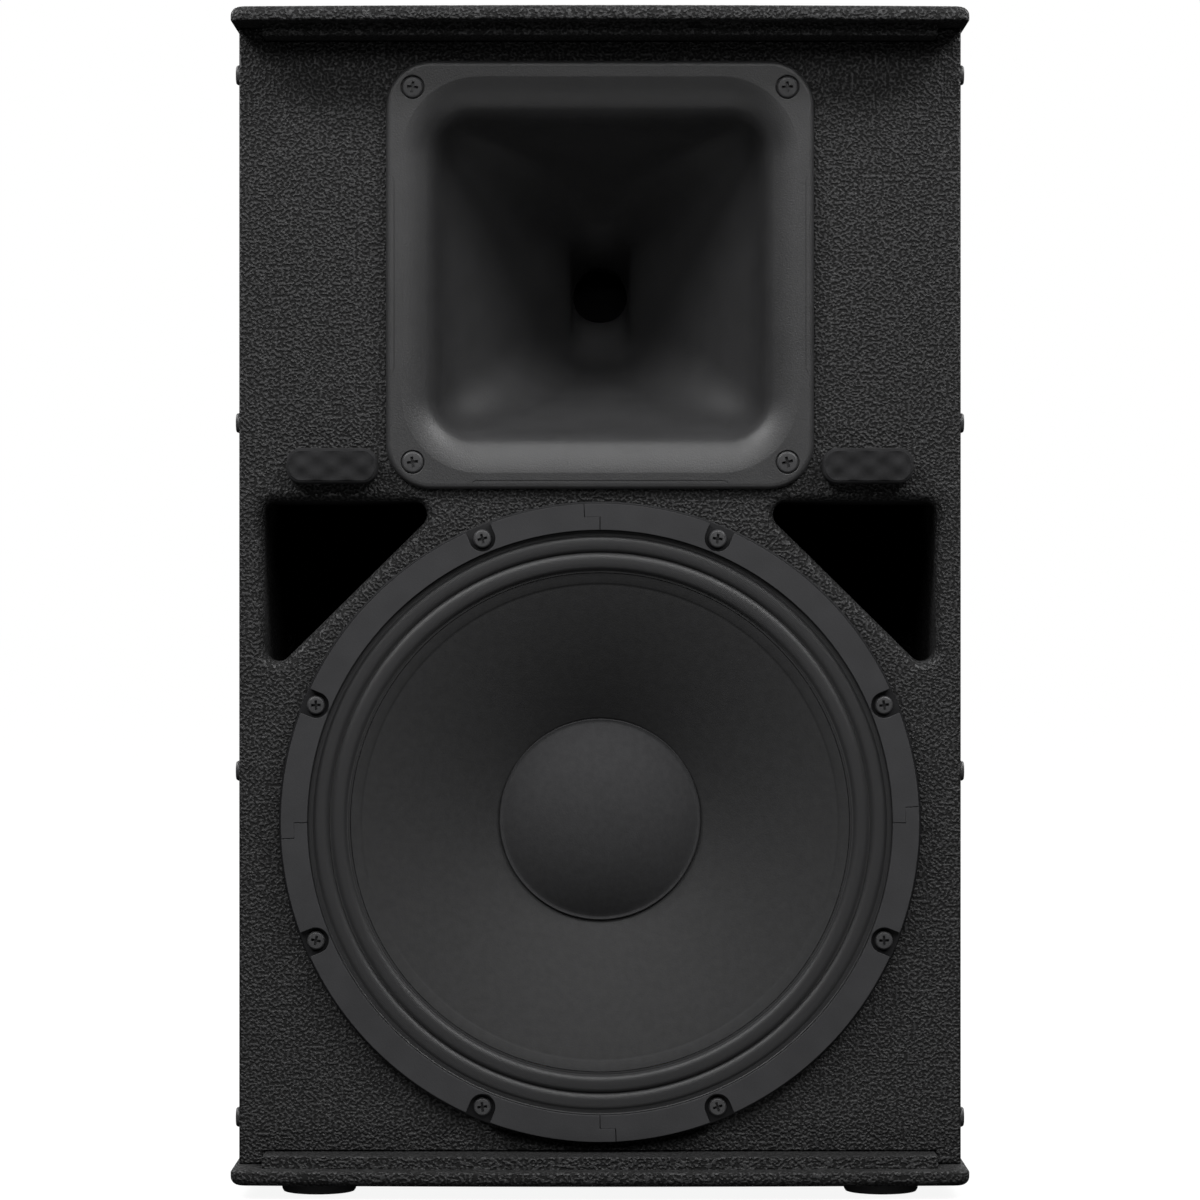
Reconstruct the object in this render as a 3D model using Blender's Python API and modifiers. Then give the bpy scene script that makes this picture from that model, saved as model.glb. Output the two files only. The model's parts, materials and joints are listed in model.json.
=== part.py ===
"""Two-way 15 inch public-address speaker cabinet, front grille taken off.

The frame: +X to the viewer's right, +Y towards the back, +Z up. The origin is the centre of the
box round the cabinet, at the height of the floor under the feet. Units are metres.

Coated plywood panels make the box. A moulded horn sits above a 15 inch woofer, and two triangular
ports fill the corners above the woofer. The cone with its dust cap and voice coil slides along Y in
the woofer's motor, and the small dome in the compression driver slides along Y behind the horn.
"""

import math

import bmesh
import bpy
from mathutils import Matrix, Vector

# ---------------------------------------------------------------- driving dimensions
WIDTH = 0.438
DEPTH = 0.374
HEIGHT = 0.706
GAP = 0.0003                # clearance between pieces that touch

# top and bottom panels: a lip that overhangs the front, and a tongue that drops between the sides
LIP_THICKNESS = 0.009
TONGUE_THICKNESS = 0.0075
FRONT_BOW = 0.0062          # how far the middle of the lip's front edge stands ahead of its ends
TONGUE_SETBACK = 0.014      # tongue's front edge behind the lip's
LIP_OVERHANG = 0.003        # lip past the side and rear panels
LIP_CORNER = 0.010
LIP_EDGE = 0.0025

# the box under them
PANEL = 0.015               # thickness of the side, corner and rear panels
BAFFLE = 0.018
BAFFLE_FRONT = -0.1463
SLANT_START = 0.060         # where the side panels end and the slanted rear corners begin
REAR_HALF_WIDTH = 0.111

# feet
FOOT_HEIGHT = 0.008
FOOT_RADIUS = 0.02225
FOOT_TAPER = 0.0012
FRONT_FOOT = (0.1687, -0.1343)
REAR_FOOT = (0.112, 0.128)

# ports: right triangles with the right angle at the upper outer corner
PORT_TOP = 0.4138
PORT_LEG_X = 0.1085
PORT_LEG_Z = 0.107
PORT_CORNER = 0.006
PORT_TIP = 0.008
PORT_BOARD = 0.012
PORT_DEPTH = 0.108

# cross brace between the side panels, above the ports: lowest and highest y and z
BRACE_Y = (0.035, 0.051)
BRACE_Z = (0.430, 0.462)

# foam rests for the grille
PAD_CENTRE = (0.1595, 0.4345)
PAD_SIZE = (0.054, 0.021, 0.019)
PAD_CORNER = 0.0085

# woofer, measured back from the front face of its gasket ring
WOOFER_HEIGHT = 0.2216
WOOFER_FRONT = -0.1543
WOOFER_SCREWS = 8
WOOFER_SCREW_CIRCLE = 0.1836
FLANGE_RADIUS = 0.192
GASKET_OUTER = 0.1905
GASKET_INNER = 0.1748
GASKET_THICKNESS = 0.0045
GASKET_SEAM_STEP = math.radians(2.9)
NOTCH_RADIUS = 0.0078
FLANGE_THICKNESS = 0.0029
CUTOUT_RADIUS = 0.178
CONE_EDGE = 0.1491
CONE_BAND = 0.1429
CONE_NECK = 0.0387
CAP_RADIUS = 0.0585
CAP_FLANGE = 0.061
CONE_RIM_DEPTH = 0.0065
CONE_BAND_DEPTH = 0.0085
CONE_DROP = 0.0535          # from the band to the neck
CONE_THICKNESS = 0.0010
CAP_RISE = 0.0175
CAP_RIM_DEPTH = 0.0455
CAP_THICKNESS = 0.0008
CLOTH_THICKNESS = 0.0008
SURROUND_EDGE_DEPTH = 0.0028
OUTER_GROOVE = (0.1696, 0.0058)     # radius and depth of the groove beside the gasket ring
ROLL_CREST_DEPTH = 0.0029
ROLL_GROOVE_DEPTH = 0.0060
ROLL_CRESTS = (0.1655, 0.1550)
SPIDER_RADIUS = 0.097
SPIDER_DEPTH = 0.080
SPIDER_WAVES = 3
SPIDER_SWING = 0.001
SEAT_DEPTH = 0.104          # front face of the motor
FRONT_PLATE = 0.008
MAGNET = 0.022
BACK_PLATE = 0.010
PLATE_RADIUS = 0.082
MAGNET_RADIUS = 0.092
POLE_RADIUS = 0.0369
POLE_VENT = 0.011
FORMER_INNER = 0.0376
FORMER_OUTER = 0.0383
COIL_OUTER = 0.0389
PLATE_BORE = 0.0396
MAGNET_BORE = 0.048
COIL_HALF_HEIGHT = 0.007
FORMER_TOP = 0.058

# the basket's bowl
BASKET_WALL = 0.0035
BOWL_RADIUS = 0.1760
BOWL_BACK_RADIUS = 0.0860
BOWL_START = 0.030
BOWL_END = 0.096
SEAT_BORE = 0.044
SEAT_WALL = 0.004
WINDOW_CENTRE = (0.125, 0.0, -0.063)
WINDOW_SIZE = (0.08, 0.054, 0.042)

# horn, measured back from the front face of its flange
HORN_HEIGHT = 0.549
HORN_FRONT = -0.1513
HORN_HALF = 0.128
HORN_CORNER = 0.027
HORN_WALL = 0.004
HORN_LENGTH = 0.200
HORN_SCREW = 0.112
THROAT_RADIUS = 0.0175
HORN_CUTOUT = (0.1165, 0.1165, 0.045)

# compression driver behind the horn's throat
DRIVER_RADIUS = 0.062
DRIVER_LENGTH = 0.030
DRIVER_CAVITY_RADIUS = 0.038
DRIVER_CAVITY_START = 0.018
COVER_LENGTH = 0.012
COVER_CHAMFER = 0.004
DIAPHRAGM_RADIUS = 0.033
DIAPHRAGM_RIM = 0.036
DIAPHRAGM_RISE = 0.008
DIAPHRAGM_THICKNESS = 0.0005
DIAPHRAGM_CLEARANCE = 0.003

# screws
WOOFER_HEAD_RADIUS = 0.0049
HORN_HEAD_RADIUS = 0.006
HEAD_HEIGHT = 0.0024
SHANK_RADIUS = 0.0023
SHANK_LENGTH = 0.022
HOLE_RADIUS = 0.0028
HORN_RECESS = 0.0065
HORN_RECESS_DEPTH = 0.0022

# side handles: centre (y, z), flange and pocket sizes along y and z
HANDLE_CENTRE = (-0.040, 0.490)
HANDLE_FLANGE = (0.168, 0.112)
HANDLE_POCKET = (0.140, 0.084)
HANDLE_WALL = 0.003
HANDLE_DEPTH = 0.050
HANDLE_FLANGE_THICKNESS = 0.0012
HANDLE_CORNER = 0.016
BAR_RADIUS = 0.010
BAR_RISE = 0.014

# pole socket in the bottom panel
POLE_Y = 0.006
POLE_BORE = 0.01775
POLE_CUP = 0.0225
POLE_TOP = 0.092
POLE_FLANGE = 0.042
POLE_FLANGE_THICKNESS = 0.0025

# input plate on the rear panel: centre height, width, height, thickness, corner
INPUT_HEIGHT = 0.330
INPUT_PLATE = (0.124, 0.092, 0.0014, 0.008)
INPUT_CUTOUT = (0.104, 0.072, 0.006)
SOCKET_SPACING = 0.044
SOCKET_BODY = 0.0133
SOCKET_BORE = 0.0115
SOCKET_FLANGE = 0.0158
SOCKET_DEPTH = 0.032
SOCKET_FLOOR = 0.002
SOCKET_RIM = 0.001

# crossover on the bottom panel: board corners (x, y), board thickness, coil, capacitors
BOARD_LOW = (-0.070, 0.070)
BOARD_HIGH = (0.070, 0.158)
BOARD_THICKNESS = 0.003
COIL_PLACE = (-0.034, 0.114)
COIL_RADIUS = 0.028
COIL_BORE = 0.010
COIL_HEIGHT = 0.022
CAPACITOR_X = 0.034
CAPACITOR_YS = (0.098, 0.130)
CAPACITOR_RADIUS = 0.011
CAPACITOR_HALF_LENGTH = 0.024

LARGE_ROUND = 48            # segments round the woofer's cutout
CONE_ROUND = 32             # round the basket, the cone and its surround
MOTOR_ROUND = 24            # round the motor, the driver, the sockets and the feet
SCREW_ROUND = 8

# ---------------------------------------------------------------- heights and planes that follow
LIP_BOTTOM = HEIGHT - LIP_THICKNESS
TONGUE_BOTTOM = LIP_BOTTOM - TONGUE_THICKNESS
FLOOR_LIP_TOP = FOOT_HEIGHT + LIP_THICKNESS
FLOOR_TONGUE_TOP = FLOOR_LIP_TOP + TONGUE_THICKNESS
BODY_HALF_WIDTH = WIDTH / 2 - LIP_OVERHANG
BODY_REAR = DEPTH / 2 - LIP_OVERHANG
INNER_HALF_WIDTH = BODY_HALF_WIDTH - PANEL
BAFFLE_BACK = BAFFLE_FRONT + BAFFLE

FACING_FRONT = (math.pi / 2, 0.0, 0.0)      # local +Z turned to the front, local Y up
FACING_BACK = (-math.pi / 2, 0.0, 0.0)      # local +Z turned to the back


# ---------------------------------------------------------------- scene and materials
def clear_scene():
    for old in list(bpy.data.objects):
        bpy.data.objects.remove(old, do_unlink=True)


def new_collection(name):
    collection = bpy.data.collections.new(name)
    bpy.context.scene.collection.children.link(collection)
    return collection


def new_material(name, colour, roughness, metallic=0.0):
    material = bpy.data.materials.new(name)
    material.use_nodes = True
    shader = material.node_tree.nodes["Principled BSDF"]
    shader.inputs["Base Color"].default_value = (*colour, 1.0)
    shader.inputs["Roughness"].default_value = roughness
    shader.inputs["Metallic"].default_value = metallic
    return material


clear_scene()
PARTS = new_collection("pa_speaker_cabinet")
TOOLS = new_collection("cutters")
COATING = new_material("textured_coating", (0.030, 0.030, 0.032), 0.75)
RAW_WOOD = new_material("birch_plywood", (0.45, 0.32, 0.19), 0.70)
PORT_PAINT = new_material("port_paint", (0.010, 0.010, 0.011), 0.80)
HORN_PLASTIC = new_material("horn_plastic", (0.045, 0.046, 0.048), 0.55)
BLACK_PLASTIC = new_material("black_plastic", (0.020, 0.020, 0.022), 0.45)
FOAM = new_material("grille_foam", (0.025, 0.025, 0.027), 0.95)
RUBBER = new_material("foot_rubber", (0.018, 0.018, 0.019), 0.85)
BLACK_STEEL = new_material("black_steel", (0.056, 0.056, 0.058), 0.45, 0.15)
ZINC_STEEL = new_material("zinc_steel", (0.55, 0.55, 0.57), 0.35, 1.0)
BASKET_PAINT = new_material("basket_paint", (0.006, 0.006, 0.007), 0.60)
GASKET_BOARD = new_material("gasket_board", (0.042, 0.042, 0.045), 0.80)
PAPER = new_material("paper_cone", (0.034, 0.034, 0.036), 0.80)
CAP_FELT = new_material("dust_cap", (0.038, 0.038, 0.041), 0.85)
CLOTH = new_material("surround_cloth", (0.022, 0.022, 0.024), 0.60)
SPIDER_CLOTH = new_material("spider_cloth", (0.50, 0.38, 0.16), 0.90)
COIL_WIRE = new_material("coil_wire", (0.60, 0.28, 0.14), 0.35, 1.0)
FERRITE = new_material("ferrite", (0.050, 0.048, 0.047), 0.65)
DIAPHRAGM_FILM = new_material("diaphragm_film", (0.020, 0.020, 0.022), 0.40)
CIRCUIT = new_material("circuit_board", (0.03, 0.12, 0.06), 0.50)
FILM_CAPACITOR = new_material("capacitor_shell", (0.65, 0.50, 0.10), 0.45)


# ---------------------------------------------------------------- making solids
def add_object(name, mesh, material, tool=False):
    """Link a mesh as one object, among the parts or among the cutters."""
    item = bpy.data.objects.new(name, mesh)
    if material:
        mesh.materials.append(material)
    (TOOLS if tool else PARTS).objects.link(item)
    if tool:
        item.hide_render = True
        item.display_type = "WIRE"
    return item


def flat_solid(name, outlines, thickness, material, tool=False):
    """Extrude closed outlines by a thickness, from local z = 0 down; inner outlines are holes."""
    curve = bpy.data.curves.new(name, "CURVE")
    curve.dimensions = "2D"
    curve.fill_mode = "BOTH"
    curve.extrude = thickness / 2
    for outline in outlines:
        spline = curve.splines.new("POLY")
        spline.points.add(len(outline) - 1)
        for point, (x, y) in zip(spline.points, outline):
            point.co = (x, y, 0.0, 1.0)
        spline.use_cyclic_u = True
    holder = bpy.data.objects.new(name + "_curve", curve)
    TOOLS.objects.link(holder)
    bpy.context.view_layer.update()
    evaluated = holder.evaluated_get(bpy.context.evaluated_depsgraph_get())
    mesh = bpy.data.meshes.new_from_object(evaluated)
    bpy.data.objects.remove(holder, do_unlink=True)
    work = bmesh.new()
    work.from_mesh(mesh)
    bmesh.ops.remove_doubles(work, verts=work.verts, dist=1e-6)
    bmesh.ops.translate(work, verts=work.verts, vec=(0, 0, -thickness / 2))
    bmesh.ops.recalc_face_normals(work, faces=work.faces)
    work.to_mesh(mesh)
    work.free()
    mesh.name = name
    mesh.materials.clear()
    return add_object(name, mesh, material, tool)


def box_solid(name, low, high, material, tool=False):
    """A box between two corners, with its origin at its centre."""
    mesh = bpy.data.meshes.new(name)
    work = bmesh.new()
    size = [b - a for a, b in zip(low, high)]
    bmesh.ops.create_cube(work, size=1.0, matrix=Matrix.Diagonal((*size, 1.0)))
    work.to_mesh(mesh)
    work.free()
    item = add_object(name, mesh, material, tool)
    item.location = [(a + b) / 2 for a, b in zip(low, high)]
    return item


def turned_solid(name, profile, segments, material, ring=False, tool=False):
    """Turn a profile of (radius, height) about local Z; a ring's profile closes on itself."""
    mesh = bpy.data.meshes.new(name)
    points = [(r, 0.0, h) for r, h in profile]
    edges = [(i, i + 1) for i in range(len(points) - 1)]
    if ring:
        edges.append((len(points) - 1, 0))
    mesh.from_pydata(points, edges, [])
    item = add_object(name, mesh, material, tool)
    screw = item.modifiers.new("Turn", "SCREW")
    screw.steps = segments
    screw.render_steps = segments
    screw.use_merge_vertices = True
    screw.merge_threshold = 0.00001
    screw.use_normal_calculate = False
    screw.use_smooth_shade = True
    return item


def place(item, location, rotation=(0.0, 0.0, 0.0)):
    item.location = location
    item.rotation_euler = rotation
    return item


def add_bevel(item, width, segments=2):
    bevel = item.modifiers.new("Rounded edges", "BEVEL")
    bevel.width = width
    bevel.segments = segments
    bevel.limit_method = "ANGLE"
    bevel.angle_limit = math.radians(50)
    return bevel


def combine(item, tool, operation="DIFFERENCE"):
    change = item.modifiers.new(operation.title(), "BOOLEAN")
    change.operation = operation
    change.solver = "EXACT"
    change.object = tool


def drill(item, name, places, radius, top, bottom):
    """Cut round holes through an item, along its local Z."""
    mesh = bpy.data.meshes.new(name)
    work = bmesh.new()
    for x, y in places:
        middle = Matrix.Translation((x, y, (top + bottom) / 2))
        bmesh.ops.create_cone(work, cap_ends=True, segments=SCREW_ROUND, radius1=radius,
                              radius2=radius, depth=top - bottom, matrix=middle)
    work.to_mesh(mesh)
    work.free()
    cutter = add_object(name, mesh, None, tool=True)
    place(cutter, item.location, item.rotation_euler)
    combine(item, cutter)


def share(name, original, location, rotation):
    """A further copy of a repeated piece, on the same mesh and with the same modifiers."""
    copy = original.copy()
    copy.name = name
    PARTS.objects.link(copy)
    return place(copy, location, rotation)


# ---------------------------------------------------------------- outlines
def arc_points(centre, radius, start, end, steps):
    turn = (end - start) / steps
    return [(centre[0] + radius * math.cos(start + i * turn),
             centre[1] + radius * math.sin(start + i * turn)) for i in range(steps + 1)]


def rounded(corners, radii, steps=3):
    """Round each corner of a closed outline with its own radius; zero keeps it sharp."""
    points = []
    count = len(corners)
    for i, radius in enumerate(radii):
        corner = Vector(corners[i])
        if radius == 0:
            points.append(tuple(corner))
            continue
        to_last = (Vector(corners[i - 1]) - corner).normalized()
        to_next = (Vector(corners[(i + 1) % count]) - corner).normalized()
        half = to_last.angle(to_next) / 2
        centre = corner + (to_last + to_next).normalized() * radius / math.sin(half)
        first = corner + to_last * radius / math.tan(half) - centre
        last = corner + to_next * radius / math.tan(half) - centre
        sweep = first.angle_signed(last)
        for step in range(steps + 1):
            turned = first.copy()
            turned.rotate(Matrix.Rotation(-sweep * step / steps, 2))
            points.append(tuple(centre + turned))
    return points


def rounded_rectangle(half_x, half_y, radius, steps=3, centre=(0.0, 0.0)):
    corners = [(half_x, half_y), (-half_x, half_y), (-half_x, -half_y), (half_x, -half_y)]
    shifted = [(x + centre[0], y + centre[1]) for x, y in corners]
    return rounded(shifted, [radius] * 4, steps)


def circle(radius, segments, centre=(0.0, 0.0)):
    return arc_points(centre, radius, 0.0, math.tau, segments)[:-1]


def offset_path(points, distance):
    """Move an open path to its left by a distance, with mitred corners."""
    moved = []
    normals = []
    for a, b in zip(points, points[1:]):
        run = (Vector(b) - Vector(a)).normalized()
        normals.append(Vector((-run.y, run.x)))
    for i, point in enumerate(points):
        before = normals[max(i - 1, 0)]
        after = normals[min(i, len(normals) - 1)]
        middle = (before + after).normalized()
        moved.append(tuple(Vector(point) + middle * distance / middle.dot(after)))
    return moved


def body_path():
    """Plan of the outer faces of the side, corner and rear panels, from front right to front left."""
    return [(BODY_HALF_WIDTH, BAFFLE_FRONT), (BODY_HALF_WIDTH, SLANT_START),
            (REAR_HALF_WIDTH, BODY_REAR), (-REAR_HALF_WIDTH, BODY_REAR),
            (-BODY_HALF_WIDTH, SLANT_START), (-BODY_HALF_WIDTH, BAFFLE_FRONT)]


def bowed_front(half_width, middle_y, steps=8):
    """Front edge from left to right, an arc whose middle stands FRONT_BOW ahead of its ends."""
    full = WIDTH / 2
    radius = (full ** 2 + FRONT_BOW ** 2) / (2 * FRONT_BOW)
    points = []
    for i in range(steps + 1):
        x = half_width * (2 * i / steps - 1)
        points.append((x, middle_y + radius - math.sqrt(radius ** 2 - x ** 2)))
    return points


def lip_outline():
    path = offset_path(body_path(), -LIP_OVERHANG)
    front = bowed_front(WIDTH / 2, -DEPTH / 2)
    corners = path[1:-1] + front
    radii = [LIP_CORNER] * 4 + [LIP_CORNER] + [0.0] * (len(front) - 2) + [LIP_CORNER]
    return rounded(corners, radii)


def tongue_outline():
    path = offset_path(body_path(), PANEL + GAP)
    front = bowed_front(INNER_HALF_WIDTH - GAP, -DEPTH / 2 + TONGUE_SETBACK)
    return path[1:-1] + front


# ---------------------------------------------------------------- cabinet
def make_cap_panel(name, lip_top, downwards):
    """Top or bottom panel: the lip, joined to the tongue that sits between the other panels."""
    lip = flat_solid(name, [lip_outline()], LIP_THICKNESS, COATING)
    place(lip, (0, 0, lip_top))
    add_bevel(lip, LIP_EDGE)
    overlap = LIP_THICKNESS / 2
    tongue = flat_solid(name + "_tongue", [tongue_outline()], TONGUE_THICKNESS + overlap, None, tool=True)
    tongue_top = lip_top - LIP_THICKNESS + overlap if downwards else lip_top + TONGUE_THICKNESS
    place(tongue, (0, 0, tongue_top))
    combine(lip, tongue, "UNION")
    return lip


def make_wall_panels():
    """Side, corner and rear panels: straight boards that meet in mitres round the plan."""
    names = ["side_panel_right", "rear_corner_panel_right", "rear_panel",
             "rear_corner_panel_left", "side_panel_left"]
    outer = body_path()
    inner = offset_path(outer, PANEL)
    low, high = FLOOR_LIP_TOP + GAP, LIP_BOTTOM - GAP
    panels = {}
    for i, name in enumerate(names):
        run = (Vector(outer[i + 1]) - Vector(outer[i])).normalized()
        start = run * (GAP / 2 if i > 0 else 0.0)
        end = run * (GAP / 2 if i < len(names) - 1 else 0.0)
        corners = [Vector(outer[i]) + start, Vector(outer[i + 1]) - end,
                   Vector(inner[i + 1]) - end, Vector(inner[i]) + start]
        panel = flat_solid(name, [[tuple(c) for c in corners]], high - low, COATING)
        panels[name] = place(panel, (0, 0, high))
    return panels


def port_notch():
    """The left port's part of the baffle's edge, from its lower tip up to its upper corner."""
    edge = -INNER_HALF_WIDTH + GAP
    corners = [(edge, PORT_TOP), (edge, PORT_TOP - PORT_LEG_Z), (edge + PORT_LEG_X, PORT_TOP)]
    outline = rounded(corners, [PORT_CORNER, PORT_TIP, PORT_TIP], steps=4)
    upper = len(outline) // 3
    return outline[upper:] + outline[:upper]


def make_baffle():
    left = port_notch()
    right = [(-x, z) for x, z in reversed(left)]
    edge = INNER_HALF_WIDTH - GAP
    bottom, top = FLOOR_TONGUE_TOP + GAP, TONGUE_BOTTOM - GAP
    outline = [(-edge, bottom)] + left + [(-edge, top), (edge, top)] + right + [(edge, bottom)]
    half_x, half_z, corner = HORN_CUTOUT
    outlines = [outline, circle(CUTOUT_RADIUS, LARGE_ROUND, (0, WOOFER_HEIGHT)),
                rounded_rectangle(half_x, half_z, corner, 4, (0, HORN_HEIGHT))]
    for x, z in woofer_screw_places() + horn_screw_places():
        outlines.append(circle(HOLE_RADIUS, SCREW_ROUND, (x, z)))
    baffle = flat_solid("baffle", outlines, BAFFLE, COATING)
    place(baffle, (0, BAFFLE_FRONT, 0), FACING_FRONT)


def make_ports():
    """A level shelf over each port and a slanted board under it, both fixed behind the baffle."""
    edge = INNER_HALF_WIDTH - GAP
    front = BAFFLE_BACK + GAP
    slope = PORT_LEG_Z / PORT_LEG_X
    drop = PORT_BOARD * math.sqrt(1 + slope ** 2)
    top = PORT_TOP - GAP
    for side, sign in (("left", -1), ("right", 1)):
        inner = edge - PORT_LEG_X
        slant = [(edge, PORT_TOP - PORT_LEG_Z), (inner, top), (inner - drop / slope, top),
                 (edge, PORT_TOP - PORT_LEG_Z - drop)]
        outline = [(sign * x, z) for x, z in slant]
        board = flat_solid("port_slant_" + side, [outline], PORT_DEPTH, PORT_PAINT)
        place(board, (0, front, 0), FACING_FRONT)
        xs = sorted((sign * edge, sign * (inner - drop / slope)))
        box_solid("port_shelf_" + side, (xs[0], front, PORT_TOP),
                  (xs[1], front + PORT_DEPTH, PORT_TOP + PORT_BOARD), PORT_PAINT)


def make_brace():
    edge = INNER_HALF_WIDTH - GAP
    low, high = zip(BRACE_Y, BRACE_Z)
    box_solid("cross_brace", (-edge, *low), (edge, *high), RAW_WOOD)


def make_grille_pads():
    half_x, half_z, thickness = PAD_SIZE[0] / 2, PAD_SIZE[1] / 2, PAD_SIZE[2]
    outline = rounded_rectangle(half_x, half_z, PAD_CORNER)
    for side, sign in (("left", -1), ("right", 1)):
        pad = flat_solid("grille_pad_" + side, [outline], thickness, FOAM)
        front = BAFFLE_FRONT - GAP - thickness
        place(pad, (sign * PAD_CENTRE[0], front, PAD_CENTRE[1]), FACING_FRONT)


def make_feet():
    top = FOOT_HEIGHT - GAP
    profile = [(0.0, top), (FOOT_RADIUS, top), (FOOT_RADIUS, 0.003),
               (FOOT_RADIUS - FOOT_TAPER, 0.0), (0.0, 0.0)]
    places = {"foot_front_left": (-FRONT_FOOT[0], FRONT_FOOT[1], 0.0),
              "foot_front_right": (FRONT_FOOT[0], FRONT_FOOT[1], 0.0),
              "foot_rear_left": (-REAR_FOOT[0], REAR_FOOT[1], 0.0),
              "foot_rear_right": (REAR_FOOT[0], REAR_FOOT[1], 0.0)}
    for name, location in places.items():
        place(turned_solid(name, profile, MOTOR_ROUND, RUBBER), location)


def make_handle(side, panel, sign):
    """A pocket let into a side panel, with a round bar across it to grip."""
    y, z = HANDLE_CENTRE
    facing = (math.pi / 2, 0.0, sign * math.pi / 2)
    centre = Vector((sign * BODY_HALF_WIDTH, y, z))
    outward = Vector((sign, 0.0, 0.0))
    half_y, half_z = HANDLE_POCKET[0] / 2, HANDLE_POCKET[1] / 2
    wall = HANDLE_WALL
    flange = rounded_rectangle(HANDLE_FLANGE[0] / 2, HANDLE_FLANGE[1] / 2, HANDLE_CORNER + 0.006)
    shell = rounded_rectangle(half_y + wall, half_z + wall, HANDLE_CORNER + wall)
    inside = rounded_rectangle(half_y, half_z, HANDLE_CORNER)
    hole = rounded_rectangle(half_y + wall + GAP, half_z + wall + GAP, HANDLE_CORNER + wall)

    cutter = flat_solid("handle_hole_" + side, [hole], 4 * PANEL, None, tool=True)
    place(cutter, centre + outward * 2 * PANEL, facing)
    combine(panel, cutter)

    front = centre + outward * (GAP + HANDLE_FLANGE_THICKNESS)
    cup = flat_solid("handle_cup_" + side, [flange], HANDLE_FLANGE_THICKNESS, BLACK_PLASTIC)
    place(cup, front, facing)
    block = flat_solid("handle_block_" + side, [shell], HANDLE_DEPTH, None, tool=True)
    place(block, front - outward * HANDLE_FLANGE_THICKNESS / 2, facing)
    combine(cup, block, "UNION")
    pocket = flat_solid("handle_pocket_" + side, [inside], HANDLE_DEPTH, None, tool=True)
    place(pocket, front + outward * wall, facing)
    combine(cup, pocket)

    bar = turned_solid("handle_bar_" + side, [(0, 1), (BAR_RADIUS, 1), (BAR_RADIUS, -1), (0, -1)],
                       MOTOR_ROUND, BLACK_PLASTIC)
    for point in bar.data.vertices:
        point.co.z *= half_y - GAP
    place(bar, front - outward * (BAR_RADIUS + 0.004) + Vector((0, 0, BAR_RISE)), (math.pi / 2, 0, 0))


def make_pole_socket(bottom_panel):
    """A flanged cup for a 35 mm stand pole, let up into the bottom panel."""
    hole = turned_solid("pole_hole", [(0, 1), (POLE_CUP + GAP, 1), (POLE_CUP + GAP, -1), (0, -1)],
                        MOTOR_ROUND, None, tool=True)
    place(hole, (0, POLE_Y, 0))
    combine(bottom_panel, hole)
    flange_top = FOOT_HEIGHT - GAP
    flange_bottom = flange_top - POLE_FLANGE_THICKNESS
    profile = [(0, POLE_TOP), (POLE_CUP, POLE_TOP), (POLE_CUP, flange_top), (POLE_FLANGE, flange_top),
               (POLE_FLANGE, flange_bottom), (POLE_BORE, flange_bottom),
               (POLE_BORE, POLE_TOP - 0.004), (0, POLE_TOP - 0.004)]
    place(turned_solid("pole_socket", profile, MOTOR_ROUND, BLACK_STEEL), (0, POLE_Y, 0))


# ---------------------------------------------------------------- woofer
def woofer_screw_places():
    places = []
    for i in range(WOOFER_SCREWS):
        angle = math.tau * (i + 0.5) / WOOFER_SCREWS
        places.append((WOOFER_SCREW_CIRCLE * math.cos(angle),
                       WOOFER_HEIGHT + WOOFER_SCREW_CIRCLE * math.sin(angle)))
    return places


def woofer_piece(name, profile, segments, material, ring=True):
    """A turned piece on the woofer's axis; heights are minus the distance behind the ring's front."""
    item = turned_solid(name, profile, segments, material, ring)
    return place(item, (0, WOOFER_FRONT, WOOFER_HEIGHT), FACING_FRONT)


def gasket_outline():
    """A quarter of the ring: stepped ends, and a notch open to the outer edge at each screw."""
    middle = (GASKET_OUTER + GASKET_INNER) / 2
    clear = GAP / GASKET_INNER
    quarter = math.pi / 2
    outer = []
    notch_half = math.asin(NOTCH_RADIUS / GASKET_OUTER)
    edges = [GASKET_SEAM_STEP + clear]
    for i in range(2):
        centre = quarter * (i + 0.5) / 2
        edges += [centre - notch_half, centre + notch_half]
    edges.append(quarter + GASKET_SEAM_STEP - clear)
    for i in range(0, len(edges), 2):
        outer += arc_points((0, 0), GASKET_OUTER, edges[i], edges[i + 1], 7)
        if i < 4:
            angle = quarter * (i // 2 + 0.5) / 2
            seat = (WOOFER_SCREW_CIRCLE * math.cos(angle), WOOFER_SCREW_CIRCLE * math.sin(angle))
            outer += arc_points(seat, NOTCH_RADIUS, angle - math.pi / 2, angle - 3 * math.pi / 2, 6)
    step_out = quarter + GASKET_SEAM_STEP - clear
    step_in = quarter - clear
    ends = [(middle + GAP / 2, step_out), (middle + GAP / 2, step_in)]
    outer += [(r * math.cos(t), r * math.sin(t)) for r, t in ends]
    outer += arc_points((0, 0), GASKET_INNER, step_in, clear, 16)
    starts = [(middle - GAP / 2, clear), (middle - GAP / 2, GASKET_SEAM_STEP + clear)]
    outer += [(r * math.cos(t), r * math.sin(t)) for r, t in starts]
    return outer


def make_gaskets():
    first = None
    for i, side in enumerate(("upper_right", "upper_left", "lower_left", "lower_right")):
        location = (0, WOOFER_FRONT, WOOFER_HEIGHT)
        rotation = (math.pi / 2, -i * math.pi / 2, 0)
        if first is None:
            first = flat_solid("gasket_" + side, [gasket_outline()], GASKET_THICKNESS, GASKET_BOARD)
            place(first, location, rotation)
        else:
            share("gasket_" + side, first, location, rotation)


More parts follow.
